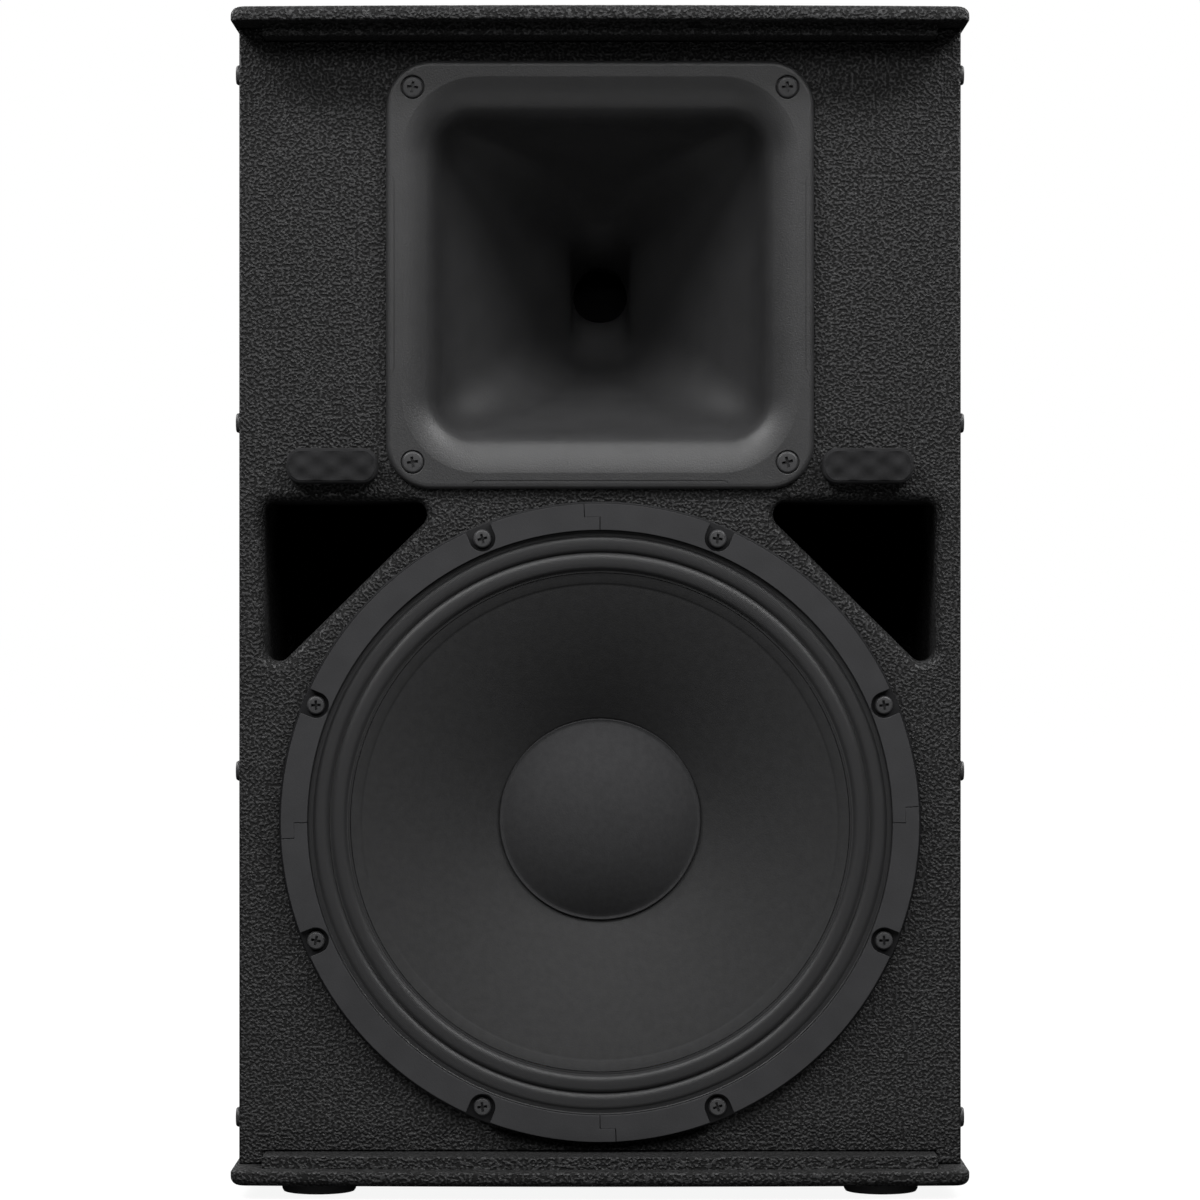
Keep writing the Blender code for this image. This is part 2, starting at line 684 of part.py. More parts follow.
def make_basket():
    """Pressed frame: the flange on the baffle, a windowed cone behind it and the motor's seat."""
    flange_front = -(GASKET_THICKNESS + GAP)
    flange_back = flange_front - FLANGE_THICKNESS
    seat_back = -(SEAT_DEPTH - GAP)
    seat_front = seat_back + SEAT_WALL
    inner_radius = BOWL_RADIUS - BASKET_WALL
    inner_back_radius = BOWL_BACK_RADIUS - SEAT_WALL
    profile = [(FLANGE_RADIUS, flange_front), (FLANGE_RADIUS, flange_back), (BOWL_RADIUS, flange_back),
               (BOWL_RADIUS, -BOWL_START), (BOWL_BACK_RADIUS, -BOWL_END),
               (BOWL_BACK_RADIUS, seat_back), (SEAT_BORE, seat_back), (SEAT_BORE, seat_front),
               (inner_back_radius, seat_front), (inner_back_radius, 0.002 - BOWL_END),
               (inner_radius, 0.002 - BOWL_START), (inner_radius, flange_front)]
    basket = woofer_piece("woofer_basket", profile, CONE_ROUND, BASKET_PAINT)
    screws = [(x, z - WOOFER_HEIGHT) for x, z in woofer_screw_places()]
    drill(basket, "basket_holes", screws, HOLE_RADIUS, flange_front + 0.01, flange_back - 0.01)
    mesh = bpy.data.meshes.new("basket_windows")
    work = bmesh.new()
    window = Matrix.Translation(WINDOW_CENTRE) @ Matrix.Diagonal((*WINDOW_SIZE, 1.0))
    for i in range(WOOFER_SCREWS):
        spin = Matrix.Rotation(math.tau * (i + 0.5) / WOOFER_SCREWS, 4, "Z")
        bmesh.ops.create_cube(work, size=1.0, matrix=spin @ window)
    work.to_mesh(mesh)
    work.free()
    cutter = add_object("basket_windows", mesh, None, tool=True)
    place(cutter, basket.location, FACING_FRONT)
    combine(basket, cutter)


def cone_depth(radius):
    """Depth of the cone's front face behind the ring: slightly curved, steeper at the neck."""
    part = (CONE_BAND - radius) / (CONE_BAND - CONE_NECK)
    return CONE_BAND_DEPTH + CONE_DROP * (0.62 * part + 0.38 * part ** 2)


def make_cone():
    steps = 5
    front = [(CONE_EDGE, CONE_RIM_DEPTH)]
    for i in range(steps + 1):
        radius = CONE_BAND + (CONE_NECK - CONE_BAND) * i / steps
        front.append((radius, cone_depth(radius)))
    back = [(r, -d - CONE_THICKNESS) for r, d in front]
    profile = back + [(r, -d) for r, d in reversed(front)]
    woofer_piece("cone", profile, CONE_ROUND, PAPER)


def cap_depth(radius):
    """Depth of the dust cap's dome, a spherical dome over a thin flange."""
    sphere = (CAP_RADIUS ** 2 + CAP_RISE ** 2) / (2 * CAP_RISE)
    return CAP_RIM_DEPTH - CAP_RISE + sphere - math.sqrt(sphere ** 2 - radius ** 2)


def make_dust_cap():
    steps = 4
    dome = [(CAP_RADIUS * i / steps, cap_depth(CAP_RADIUS * i / steps)) for i in range(steps + 1)]
    rim = [(CAP_FLANGE, cap_depth(CAP_RADIUS) + 0.0004)]
    front = [(r, -d) for r, d in dome + rim]
    back = [(r, -d - CAP_THICKNESS) for r, d in reversed(dome + rim)]
    woofer_piece("dust_cap", front + back, MOTOR_ROUND, CAP_FELT, ring=False)


def make_surround():
    """Cloth edge of two rolls between the cone and the basket."""
    inner, outer = CONE_EDGE + 0.0005, GASKET_INNER - 0.0005
    half_crest, half_roll = 0.0015, 0.0047
    front = [(outer, SURROUND_EDGE_DEPTH), OUTER_GROOVE]
    for crest in ROLL_CRESTS:
        front += [(crest + half_crest, ROLL_CREST_DEPTH), (crest - half_crest, ROLL_CREST_DEPTH),
                  (crest - half_roll, ROLL_GROOVE_DEPTH)]
    front[-1] = (inner, CONE_RIM_DEPTH)
    back = [(r, -d - CLOTH_THICKNESS) for r, d in front]
    profile = back + [(r, -d) for r, d in reversed(front)]
    woofer_piece("surround", profile, CONE_ROUND, CLOTH)


def make_spider():
    """Corrugated cloth disc that centres the voice coil."""
    inner = FORMER_OUTER + 0.0005
    steps = 2 * SPIDER_WAVES
    front = []
    for i in range(steps + 1):
        radius = SPIDER_RADIUS + (inner - SPIDER_RADIUS) * i / steps
        front.append((radius, SPIDER_DEPTH + (SPIDER_SWING if i % 2 else -SPIDER_SWING)))
    back = [(r, -d - CLOTH_THICKNESS) for r, d in front]
    profile = back + [(r, -d) for r, d in reversed(front)]
    woofer_piece("spider", profile, MOTOR_ROUND, SPIDER_CLOTH)


def make_motor():
    """Front plate, magnet ring, and back plate with the vented pole; the coil sits in the gap."""
    plate_back = -(SEAT_DEPTH + FRONT_PLATE)
    woofer_piece("front_plate", [(PLATE_RADIUS, -SEAT_DEPTH), (PLATE_RADIUS, plate_back),
                                 (PLATE_BORE, plate_back), (PLATE_BORE, -SEAT_DEPTH)],
                 MOTOR_ROUND, ZINC_STEEL)
    magnet_front = plate_back - GAP
    magnet_back = magnet_front - MAGNET
    woofer_piece("magnet", [(MAGNET_RADIUS, magnet_front), (MAGNET_RADIUS, magnet_back),
                            (MAGNET_BORE, magnet_back), (MAGNET_BORE, magnet_front)],
                 MOTOR_ROUND, FERRITE)
    yoke = magnet_back - GAP
    woofer_piece("back_plate", [(POLE_RADIUS, -SEAT_DEPTH), (POLE_RADIUS, yoke), (PLATE_RADIUS, yoke),
                                (PLATE_RADIUS, yoke - BACK_PLATE), (POLE_VENT, yoke - BACK_PLATE),
                                (POLE_VENT, -SEAT_DEPTH)], MOTOR_ROUND, ZINC_STEEL)
    middle = -(SEAT_DEPTH + FRONT_PLATE / 2)
    top, bottom = middle + COIL_HALF_HEIGHT, middle - COIL_HALF_HEIGHT
    end = bottom - 0.001
    woofer_piece("voice_coil", [(FORMER_OUTER, -FORMER_TOP), (FORMER_OUTER, top), (COIL_OUTER, top),
                                (COIL_OUTER, bottom), (FORMER_OUTER, bottom), (FORMER_OUTER, end),
                                (FORMER_INNER, end), (FORMER_INNER, -FORMER_TOP)],
                 MOTOR_ROUND, COIL_WIRE)


# ---------------------------------------------------------------- horn
def horn_screw_places():
    return [(x, HORN_HEIGHT + z) for x in (-HORN_SCREW, HORN_SCREW) for z in (-HORN_SCREW, HORN_SCREW)]


def horn_sections():
    """Sections of the horn's front face: half width, half height, corner radius, depth."""
    return [(HORN_HALF, HORN_HALF, HORN_CORNER, 0.0047),
            (HORN_HALF, HORN_HALF, HORN_CORNER, 0.0026),
            (HORN_HALF - 0.0009, HORN_HALF - 0.0009, HORN_CORNER - 0.0009, 0.0009),
            (HORN_HALF - 0.0028, HORN_HALF - 0.0028, HORN_CORNER - 0.0028, 0.0),
            (0.1160, 0.1160, 0.044, 0.0),
            (0.1075, 0.1070, 0.035, 0.0045),
            (0.0990, 0.0975, 0.024, 0.0170),
            (0.0905, 0.0905, 0.020, 0.0360),
            (0.0730, 0.0800, 0.019, 0.0630),
            (0.0555, 0.0690, 0.018, 0.0930),
            (0.0385, 0.0575, 0.017, 0.1230),
            (0.0215, 0.0450, 0.016, 0.1520),
            (0.0180, 0.0370, 0.0165, 0.1640),
            (0.0178, 0.0250, 0.0170, 0.1800),
            (THROAT_RADIUS, THROAT_RADIUS, THROAT_RADIUS * 0.999, 0.193),
            (THROAT_RADIUS, THROAT_RADIUS, THROAT_RADIUS * 0.999, HORN_LENGTH)]


def make_horn():
    """Moulded flange and bell: a loft from the square flange to the round throat, given a wall."""
    mesh = bpy.data.meshes.new("horn")
    work = bmesh.new()
    rings = []
    for half_x, half_y, corner, depth in horn_sections():
        outline = rounded_rectangle(half_x, half_y, corner, steps=4)
        rings.append([work.verts.new((x, y, -depth)) for x, y in outline])
    for outside, inside in zip(rings, rings[1:]):
        for i in range(len(outside)):
            j = (i + 1) % len(outside)
            work.faces.new((outside[i], outside[j], inside[j], inside[i]))
    work.to_mesh(mesh)
    work.free()
    horn = add_object("horn", mesh, HORN_PLASTIC)
    place(horn, (0, HORN_FRONT, HORN_HEIGHT), FACING_FRONT)
    wall = horn.modifiers.new("Wall", "SOLIDIFY")
    wall.thickness = HORN_WALL
    wall.offset = -1.0
    wall.use_even_offset = False
    screws = [(x, z - HORN_HEIGHT) for x, z in horn_screw_places()]
    drill(horn, "horn_recesses", screws, HORN_RECESS, 0.001, -HORN_RECESS_DEPTH)
    drill(horn, "horn_holes", screws, HOLE_RADIUS, 0.001, -0.020)


def make_driver():
    """Compression driver behind the throat: housing, dome diaphragm and rear cover."""
    def piece(name, profile, segments, material, ring):
        item = turned_solid(name, profile, segments, material, ring)
        place(item, (0, HORN_FRONT, HORN_HEIGHT), FACING_FRONT)

    front = -(HORN_LENGTH + GAP)
    back, floor = front - DRIVER_LENGTH, front - DRIVER_CAVITY_START
    piece("driver_body", [(DRIVER_RADIUS, front), (DRIVER_RADIUS, back), (DRIVER_CAVITY_RADIUS, back),
                          (DRIVER_CAVITY_RADIUS, floor), (THROAT_RADIUS, floor),
                          (THROAT_RADIUS, front)], MOTOR_ROUND, BLACK_STEEL, True)
    crown = floor - DIAPHRAGM_CLEARANCE
    rim = crown - DIAPHRAGM_RISE
    front_face = [(0.0, crown), (DIAPHRAGM_RADIUS / 2, crown - DIAPHRAGM_RISE / 4),
                  (DIAPHRAGM_RADIUS, rim), (DIAPHRAGM_RIM, rim)]
    back_face = [(r, h - DIAPHRAGM_THICKNESS) for r, h in reversed(front_face)]
    piece("diaphragm", front_face + back_face, MOTOR_ROUND, DIAPHRAGM_FILM, False)
    lid = back - GAP
    end = lid - COVER_LENGTH
    piece("driver_cover", [(0, lid), (DRIVER_RADIUS, lid), (DRIVER_RADIUS, end + COVER_CHAMFER),
                           (DRIVER_RADIUS - COVER_CHAMFER, end), (0, end)],
          MOTOR_ROUND, BLACK_PLASTIC, False)


# ---------------------------------------------------------------- screws and wiring pieces
def make_screw_row(label, places, seat, head_radius):
    """Pan-head screws of one size, all on one mesh: the seat at local z = 0, the shank below it."""
    profile = [(0, HEAD_HEIGHT), (head_radius * 0.72, HEAD_HEIGHT), (head_radius, HEAD_HEIGHT * 0.4),
               (head_radius, 0), (SHANK_RADIUS, 0), (SHANK_RADIUS, -SHANK_LENGTH), (0, -SHANK_LENGTH)]
    x, z = places[0]
    first = turned_solid(label + "_1", profile, SCREW_ROUND, BLACK_STEEL)
    place(first, (x, seat, z), FACING_FRONT)
    for i, (x, z) in enumerate(places[1:], start=2):
        share("%s_%d" % (label, i), first, (x, seat, z), FACING_FRONT)


def make_screws():
    flange = WOOFER_FRONT + GASKET_THICKNESS
    make_screw_row("woofer_screw", woofer_screw_places(), flange, WOOFER_HEAD_RADIUS)
    recess = HORN_FRONT + HORN_RECESS_DEPTH - GAP
    make_screw_row("horn_screw", horn_screw_places(), recess, HORN_HEAD_RADIUS)


def make_inputs(rear_panel):
    width, height, thickness, corner = INPUT_PLATE
    cut_width, cut_height, cut_corner = INPUT_CUTOUT
    cutter = flat_solid("input_hole", [rounded_rectangle(cut_width / 2, cut_height / 2, cut_corner)],
                        4 * PANEL, None, tool=True)
    place(cutter, (0, BODY_REAR + 2 * PANEL, INPUT_HEIGHT), FACING_BACK)
    combine(rear_panel, cutter)
    centres = [(-SOCKET_SPACING / 2, 0.0), (SOCKET_SPACING / 2, 0.0)]
    outlines = [rounded_rectangle(width / 2, height / 2, corner)]
    outlines += [circle(SOCKET_BODY + GAP, MOTOR_ROUND, centre) for centre in centres]
    plate = flat_solid("input_plate", outlines, thickness, BLACK_STEEL)
    outer = BODY_REAR + GAP + thickness
    place(plate, (0, outer, INPUT_HEIGHT), FACING_BACK)
    end = SOCKET_RIM - SOCKET_DEPTH
    profile = [(0, end + SOCKET_FLOOR), (SOCKET_BORE, end + SOCKET_FLOOR), (SOCKET_BORE, SOCKET_RIM),
               (SOCKET_FLANGE, SOCKET_RIM), (SOCKET_FLANGE, 0), (SOCKET_BODY, 0),
               (SOCKET_BODY, end), (0, end)]
    for side, (x, z) in zip(("left", "right"), centres):
        socket = turned_solid("input_socket_" + side, profile, MOTOR_ROUND, BLACK_PLASTIC)
        place(socket, (x, outer + GAP, INPUT_HEIGHT + z), FACING_BACK)


def make_crossover():
    """Crossover board on the bottom panel, with its coil and two capacitors."""
    low = FLOOR_TONGUE_TOP + GAP
    top = low + BOARD_THICKNESS
    box_solid("crossover_board", (*BOARD_LOW, low), (*BOARD_HIGH, top), CIRCUIT)
    coil = turned_solid("crossover_coil", [(COIL_RADIUS, COIL_HEIGHT), (COIL_RADIUS, 0), (COIL_BORE, 0),
                                           (COIL_BORE, COIL_HEIGHT)], MOTOR_ROUND, COIL_WIRE, ring=True)
    place(coil, (*COIL_PLACE, top + GAP))
    radius, half = CAPACITOR_RADIUS, CAPACITOR_HALF_LENGTH
    for i, y in enumerate(CAPACITOR_YS, start=1):
        can = turned_solid("crossover_capacitor_%d" % i,
                           [(0, half), (radius, half), (radius, -half), (0, -half)],
                           MOTOR_ROUND, FILM_CAPACITOR)
        place(can, (CAPACITOR_X, y, top + GAP + radius), (0, math.pi / 2, 0))


def main():
    make_cap_panel("top_panel", HEIGHT, downwards=True)
    bottom = make_cap_panel("bottom_panel", FLOOR_LIP_TOP, downwards=False)
    panels = make_wall_panels()
    make_baffle()
    make_ports()
    make_brace()
    make_grille_pads()
    make_feet()
    make_handle("left", panels["side_panel_left"], -1)
    make_handle("right", panels["side_panel_right"], 1)
    make_pole_socket(bottom)
    make_basket()
    make_gaskets()
    make_cone()
    make_dust_cap()
    make_surround()
    make_spider()
    make_motor()
    make_horn()
    make_driver()
    make_screws()
    make_inputs(panels["rear_panel"])
    make_crossover()


main()
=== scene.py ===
"""Looks of the 15 inch PA speaker cabinet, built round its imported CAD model.

Everything is in metres in the model's frame: +X to the viewer's right, +Y to the back, +Z up. Each
piece is made in local axes, where u runs across, v runs up and w stands out of the surface, and is
then placed on the face that it belongs to.
"""
import json
import math

import bmesh
import bpy
import numpy as np
from mathutils import Matrix, Vector
from mathutils.geometry import tessellate_polygon


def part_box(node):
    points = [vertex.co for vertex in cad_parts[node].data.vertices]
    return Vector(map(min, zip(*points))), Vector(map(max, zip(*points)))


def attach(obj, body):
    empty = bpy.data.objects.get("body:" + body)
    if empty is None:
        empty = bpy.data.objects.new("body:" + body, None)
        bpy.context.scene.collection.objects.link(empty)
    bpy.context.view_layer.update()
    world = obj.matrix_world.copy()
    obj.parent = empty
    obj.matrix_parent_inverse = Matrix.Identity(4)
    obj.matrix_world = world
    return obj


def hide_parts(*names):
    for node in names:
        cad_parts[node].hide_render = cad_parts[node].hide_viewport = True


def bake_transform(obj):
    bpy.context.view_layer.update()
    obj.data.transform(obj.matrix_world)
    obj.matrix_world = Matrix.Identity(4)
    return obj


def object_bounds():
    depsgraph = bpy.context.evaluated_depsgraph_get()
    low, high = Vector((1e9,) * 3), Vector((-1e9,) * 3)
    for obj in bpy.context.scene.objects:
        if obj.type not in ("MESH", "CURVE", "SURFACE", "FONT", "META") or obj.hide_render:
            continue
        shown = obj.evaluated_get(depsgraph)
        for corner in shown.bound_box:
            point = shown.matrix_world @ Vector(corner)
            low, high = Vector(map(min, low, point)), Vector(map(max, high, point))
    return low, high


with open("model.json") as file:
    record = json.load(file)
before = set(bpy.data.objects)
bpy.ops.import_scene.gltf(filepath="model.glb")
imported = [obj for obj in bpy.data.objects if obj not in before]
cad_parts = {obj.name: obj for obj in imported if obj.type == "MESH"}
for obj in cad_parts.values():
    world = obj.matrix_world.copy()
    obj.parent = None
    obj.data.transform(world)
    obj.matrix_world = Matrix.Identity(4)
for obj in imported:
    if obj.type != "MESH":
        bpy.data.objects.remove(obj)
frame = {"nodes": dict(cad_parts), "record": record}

CAD_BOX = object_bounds()
GAP = 0.0003
SUPPORT = 0.0003            # narrow flat strip beside a rounded edge, which keeps the face's shading flat

# ---------------- places read from the frame
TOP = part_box("top_panel")
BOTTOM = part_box("bottom_panel")
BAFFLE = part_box("baffle")
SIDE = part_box("side_panel_right")
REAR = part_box("rear_panel")
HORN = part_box("horn")
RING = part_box("gasket_upper_right")
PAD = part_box("grille_pad_right")
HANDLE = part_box("handle_cup_right")
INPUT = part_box("input_plate")
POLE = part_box("pole_socket")

PANEL = 0.015               # thickness of the boards
HALF_WIDTH = SIDE[1].x
INNER_HALF_WIDTH = HALF_WIDTH - PANEL
BAFFLE_FRONT = BAFFLE[0].y
BAFFLE_BACK = BAFFLE[1].y
REAR_FACE = REAR[1].y
WOOFER_FRONT = RING[0].y
WOOFER_HEIGHT = 0.2216
HORN_FRONT = HORN[0].y
HORN_HEIGHT = (HORN[0].z + HORN[1].z) / 2
HORN_HALF = HORN[1].x
INPUT_HEIGHT = (INPUT[0].z + INPUT[1].z) / 2
HANDLE_Y = (HANDLE[0].y + HANDLE[1].y) / 2
HANDLE_Z = (HANDLE[0].z + HANDLE[1].z) / 2
HANDLE_HALF_Y = (HANDLE[1].y - HANDLE[0].y) / 2
HANDLE_HALF_Z = (HANDLE[1].z - HANDLE[0].z) / 2
HANDLE_FACE = HANDLE[1].x

# ---------------- cabinet
LIP_THICKNESS = 0.009
LIP_OVERHANG = 0.003
LIP_CORNER = 0.010
LIP_OUTER_EDGE = 0.0050
LIP_INNER_EDGE = 0.0018
FRONT_BOW = 0.0062
TONGUE_SETBACK = 0.014
TONGUE_EDGE = 0.0012
SLANT_START = 0.060
REAR_HALF_WIDTH = 0.111
BEND_RADIUS = 0.006
BEND_STEPS = 8
BOARD_EDGE = 0.0016
HOLE_EDGE = 0.0005
INPUT_CUTOUT = (0.052, 0.036)

# ports
PORT_TOP = 0.4138
PORT_LEG_X = 0.1085
PORT_LEG_Z = 0.107
PORT_RADII = (0.006, 0.008, 0.008)
PORT_EDGE = 0.0062

# woofer
WOOFER_SCREWS = 8
WOOFER_SCREW_CIRCLE = 0.1836
FLANGE_RADIUS = 0.192
GASKET_OUTER = 0.1905
GASKET_INNER = 0.1748
GASKET_THICKNESS = 0.0045
GASKET_SEAM_STEP = math.radians(2.9)
GASKET_EDGE = 0.0003
GASKET_CLEAR = 0.00018      # half the gap between two gasket pieces
NOTCH_RADIUS = 0.0078
CUTOUT_RADIUS = 0.178
ROLL_CRESTS = (0.1669, 0.1563)
ROLL_HALF = 0.0053
ROLL_HEIGHT = 0.0037
ROLL_FOOT = 0.0066
ROLL_SHAPE = 3.0            # 2 is a half circle, more is flatter on top with steeper sides
CONE_EDGE = 0.1491
CONE_BAND = 0.1429
CONE_NECK = 0.0387
CONE_TOP = 0.0085           # depth of the paper at its band
CONE_FALL = 0.0535          # from there down to the neck
CONE_CURVE = 0.38           # share of the fall that is curved
CONE_STEP = 0.0004
CAP_RADIUS = 0.0585
CAP_FLANGE = 0.061
CAP_RISE = 0.0175
CAP_RIM_DEPTH = 0.0455

# horn
HORN_CORNER = 0.027
HORN_SCREW = 0.112
HORN_RECESS = 0.0071
HORN_RECESS_DEPTH = 0.0022
HORN_CUTOUT = (0.1165, 0.045)
MARK_INSET = 0.0050         # lines scored along the flange, which turn out to its edge at both ends
MARK_WIDTH = 0.0005
MARK_DEPTH = 0.0004
MARK_RUN_OUT = 0.0013
MARK_SIDE_HALF = 0.056
MARK_BOTTOM_HALF = 0.074
HORN_WALL = 0.0028
HORN_RIM = [                # how far in from the flange's outer edge, and how far back
    (0.0034, 0.0), (0.0031, 0.0), (0.0019, 0.0003), (0.0009, 0.0009), (0.0003, 0.0018), (0.0, 0.0028),
    (0.0, 0.0047)]
HORN_SECTIONS = [           # half width, half height, corner radius, depth
    (0.1185, 0.1185, 0.0460, 0.0000), (0.1150, 0.1150, 0.0430, 0.0006), (0.1110, 0.1098, 0.0385, 0.0020),
    (0.1070, 0.1044, 0.0330, 0.0042), (0.1028, 0.0992, 0.0270, 0.0074), (0.0994, 0.0955, 0.0225, 0.0124),
    (0.0970, 0.0928, 0.0200, 0.0190), (0.0945, 0.0904, 0.0200, 0.0270), (0.0888, 0.0866, 0.0220, 0.0390),
    (0.0725, 0.0775, 0.0300, 0.0640), (0.0555, 0.0678, 0.0330, 0.0930), (0.0385, 0.0570, 0.0280, 0.1230),
    (0.0215, 0.0450, 0.0180, 0.1520), (0.0180, 0.0370, 0.0165, 0.1640), (0.0178, 0.0250, 0.0170, 0.1800),
    (0.0175, 0.0175, 0.0174, 0.1930), (0.0175, 0.0175, 0.0174, 0.2000)]

# side handles
HANDLE_RIM = 0.014          # flange round the pocket
HANDLE_WALL = 0.003
HANDLE_CORNER = 0.016
HANDLE_DEPTH = 0.048
HANDLE_MOULDING = 0.0018
HANDLE_SCREW_SUNK = 0.0016

# foam pads
DIMPLE = 0.0007             # half the depth of the dimples
DIMPLE_PITCH = (0.0176, 0.0124)
PAD_CORNER = 0.0085
PAD_EDGE = 0.0016

# screws
SCREW_SIZES = {             # radius of the head, its height, and the span of its cross
    "woofer": (0.0055, 0.0030, 0.0058), "horn": (0.0065, 0.0024, 0.0066), "side": (0.0060, 0.0027, 0.0050),
    "foot": (0.0046, 0.0022, 0.0042), "handle": (0.0038, 0.0018, 0.0034),
    "pole": (0.0040, 0.0020, 0.0036), "input": (0.0034, 0.0016, 0.0030)}
SCREW_TURNS = (2, 9, -7, 14, 3, -12, 6, 18)     # degrees; each cross stands at its own angle
SIDE_SCREW_Y = -0.134
SIDE_SCREW_HEIGHTS = (0.670, 0.461, 0.252, 0.044)
POLE_SCREW_CIRCLE = 0.034
INPUT_SOCKET = 0.022        # from the plate's middle
INPUT_HOLE = 0.0136

ROUND = 192                 # segments round the woofer


# ---------------- outlines
def arc_points(centre, radius, start, end, steps):
    turn = (end - start) / steps
    return [(centre[0] + radius * math.cos(start + i * turn),
             centre[1] + radius * math.sin(start + i * turn)) for i in range(steps + 1)]


def rounded(corners, radii, steps=8, closed=True):
    """Round each corner of an outline with its own radius; zero keeps it sharp."""
    points = []
    count = len(corners)
    for i, radius in enumerate(radii):
        corner = Vector(corners[i])
        if radius == 0 or (not closed and i in (0, count - 1)):
            points.append(tuple(corner))
            continue
        to_last = (Vector(corners[i - 1]) - corner).normalized()
        to_next = (Vector(corners[(i + 1) % count]) - corner).normalized()
        half = to_last.angle(to_next) / 2
        centre = corner + (to_last + to_next).normalized() * radius / math.sin(half)
        first = corner + to_last * radius / math.tan(half) - centre
        last = corner + to_next * radius / math.tan(half) - centre
        sweep = first.angle_signed(last)
        for step in range(steps + 1):
            turned = first.copy()
            turned.rotate(Matrix.Rotation(-sweep * step / steps, 2))
            points.append(tuple(centre + turned))
    return points


def rounded_ring(half_u, half_v, radius, corner_steps=12, side_steps=8):
    """Anticlockwise rounded rectangle with the same number of points whatever its size."""
    points = []
    radius = min(radius, 0.97 * half_u, 0.97 * half_v)
    centres = [(half_u - radius, half_v - radius), (radius - half_u, half_v - radius),
               (radius - half_u, radius - half_v), (half_u - radius, radius - half_v)]
    for i, centre in enumerate(centres):
        corner = arc_points(centre, radius, i * math.pi / 2, (i + 1) * math.pi / 2, corner_steps)
        follower = centres[(i + 1) % 4]
        turn = (i + 1) * math.pi / 2
        start = Vector(corner[-1])
        end = Vector((follower[0] + radius * math.cos(turn), follower[1] + radius * math.sin(turn)))
        points += corner + [tuple(start.lerp(end, k / side_steps)) for k in range(1, side_steps)]
    return points


def circle(radius, segments, centre=(0.0, 0.0)):
    return arc_points(centre, radius, 0.0, math.tau, segments)[:-1]


def inset(outline, distance):
    """Move a closed outline to its left, which is inwards when it runs anticlockwise."""
    points = np.array(outline, float)
    along = np.roll(points, -1, 0) - points
    along /= np.linalg.norm(along, axis=1)[:, None]
    after = np.stack([-along[:, 1], along[:, 0]], 1)
    before = np.roll(after, 1, 0)
    middle = before + after
    return points + distance * middle / (middle * after).sum(1)[:, None]


def at_height(outline, height):
    return [(u, v, height) for u, v in outline]


def edge_rings(outline, radius, thickness, back_radius=0.0, steps=6):
    """Rings round the edge of a board, from its front face at w = 0, over the edge, to its back."""
    rings = [at_height(inset(outline, radius + SUPPORT), 0.0)]
    for k in range(steps + 1):
        turn = math.pi / 2 * k / steps
        rings.append(at_height(inset(outline, radius * (1 - math.sin(turn))),
                               -radius * (1 - math.cos(turn))))
    for k in range(steps, -1, -1):
        turn = math.pi / 2 * k / steps
        if back_radius or k == steps:
            rings.append(at_height(inset(outline, back_radius * (1 - math.sin(turn))),
                                   back_radius * (1 - math.cos(turn)) - thickness))
    return rings


# ---------------- meshes
def loft(work, rings, close=False, cap_first=False, cap_last=False):
    """Join rings of equal length with quads."""
    rows = [[work.verts.new(point) for point in ring] for ring in rings]
    pairs = list(zip(rows, rows[1:]))
    if close:
        pairs.append((rows[-1], rows[0]))
    for one, other in pairs:
        for i in range(len(one)):
            j = (i + 1) % len(one)
            work.faces.new((one[i], one[j], other[j], other[i]))
    if cap_first:
        work.faces.new(rows[0][::-1])
    if cap_last:
        work.faces.new(rows[-1])
    return rows


def fill_between(work, loops):
    """Fill the flat area between an outer loop of vertices and the loops of its holes."""
    flat = [vertex for loop in loops for vertex in loop]
    shapes = [[Vector((v.co.x, v.co.y, 0.0)) for v in loop] for loop in loops]
    for a, b, c in tessellate_polygon(shapes):
        if len({a, b, c}) == 3:
            work.faces.new((flat[a], flat[b], flat[c]))


def board(outer, holes, thickness, edge):
    """A flat board with rounded edges: outer runs anticlockwise, holes are made to run clockwise."""
    work = bmesh.new()
    loops = [loft(work, edge_rings(outer, edge, thickness))]
    for hole, radius in holes:
        loops.append(loft(work, edge_rings(hole[::-1], radius, thickness)))
    fill_between(work, [rows[0] for rows in loops])
    fill_between(work, [rows[-1] for rows in loops])
    return work


def turned(profile, segments=64, ring=False):
    """Turn a profile of (radius, height) about w; an open one starts and ends on the axis."""
    work = bmesh.new()
    turns = [math.tau * i / segments for i in range(segments)]
    rings = [[(r * math.cos(t), r * math.sin(t), h) for t in turns] for r, h in profile]
    loft(work, rings, close=ring)
    bmesh.ops.remove_doubles(work, verts=work.verts, dist=1e-7)
    return work


def merge(works):
    """Put several bmeshes into the first one."""
    first = works[0]
    for other in works[1:]:
        mesh = bpy.data.meshes.new("merge")
        other.to_mesh(mesh)
        other.free()
        first.from_mesh(mesh)
        bpy.data.meshes.remove(mesh)
    return first


def box(low, high):
    work = bmesh.new()
    size = [b - a for a, b in zip(low, high)]
    middle = [(a + b) / 2 for a, b in zip(low, high)]
    bmesh.ops.create_cube(work, size=1.0, matrix=Matrix.Translation(middle) @ Matrix.Diagonal((*size, 1)))
    return work


def shifted(u, v, w):
    return Matrix.Translation((u, v, w))


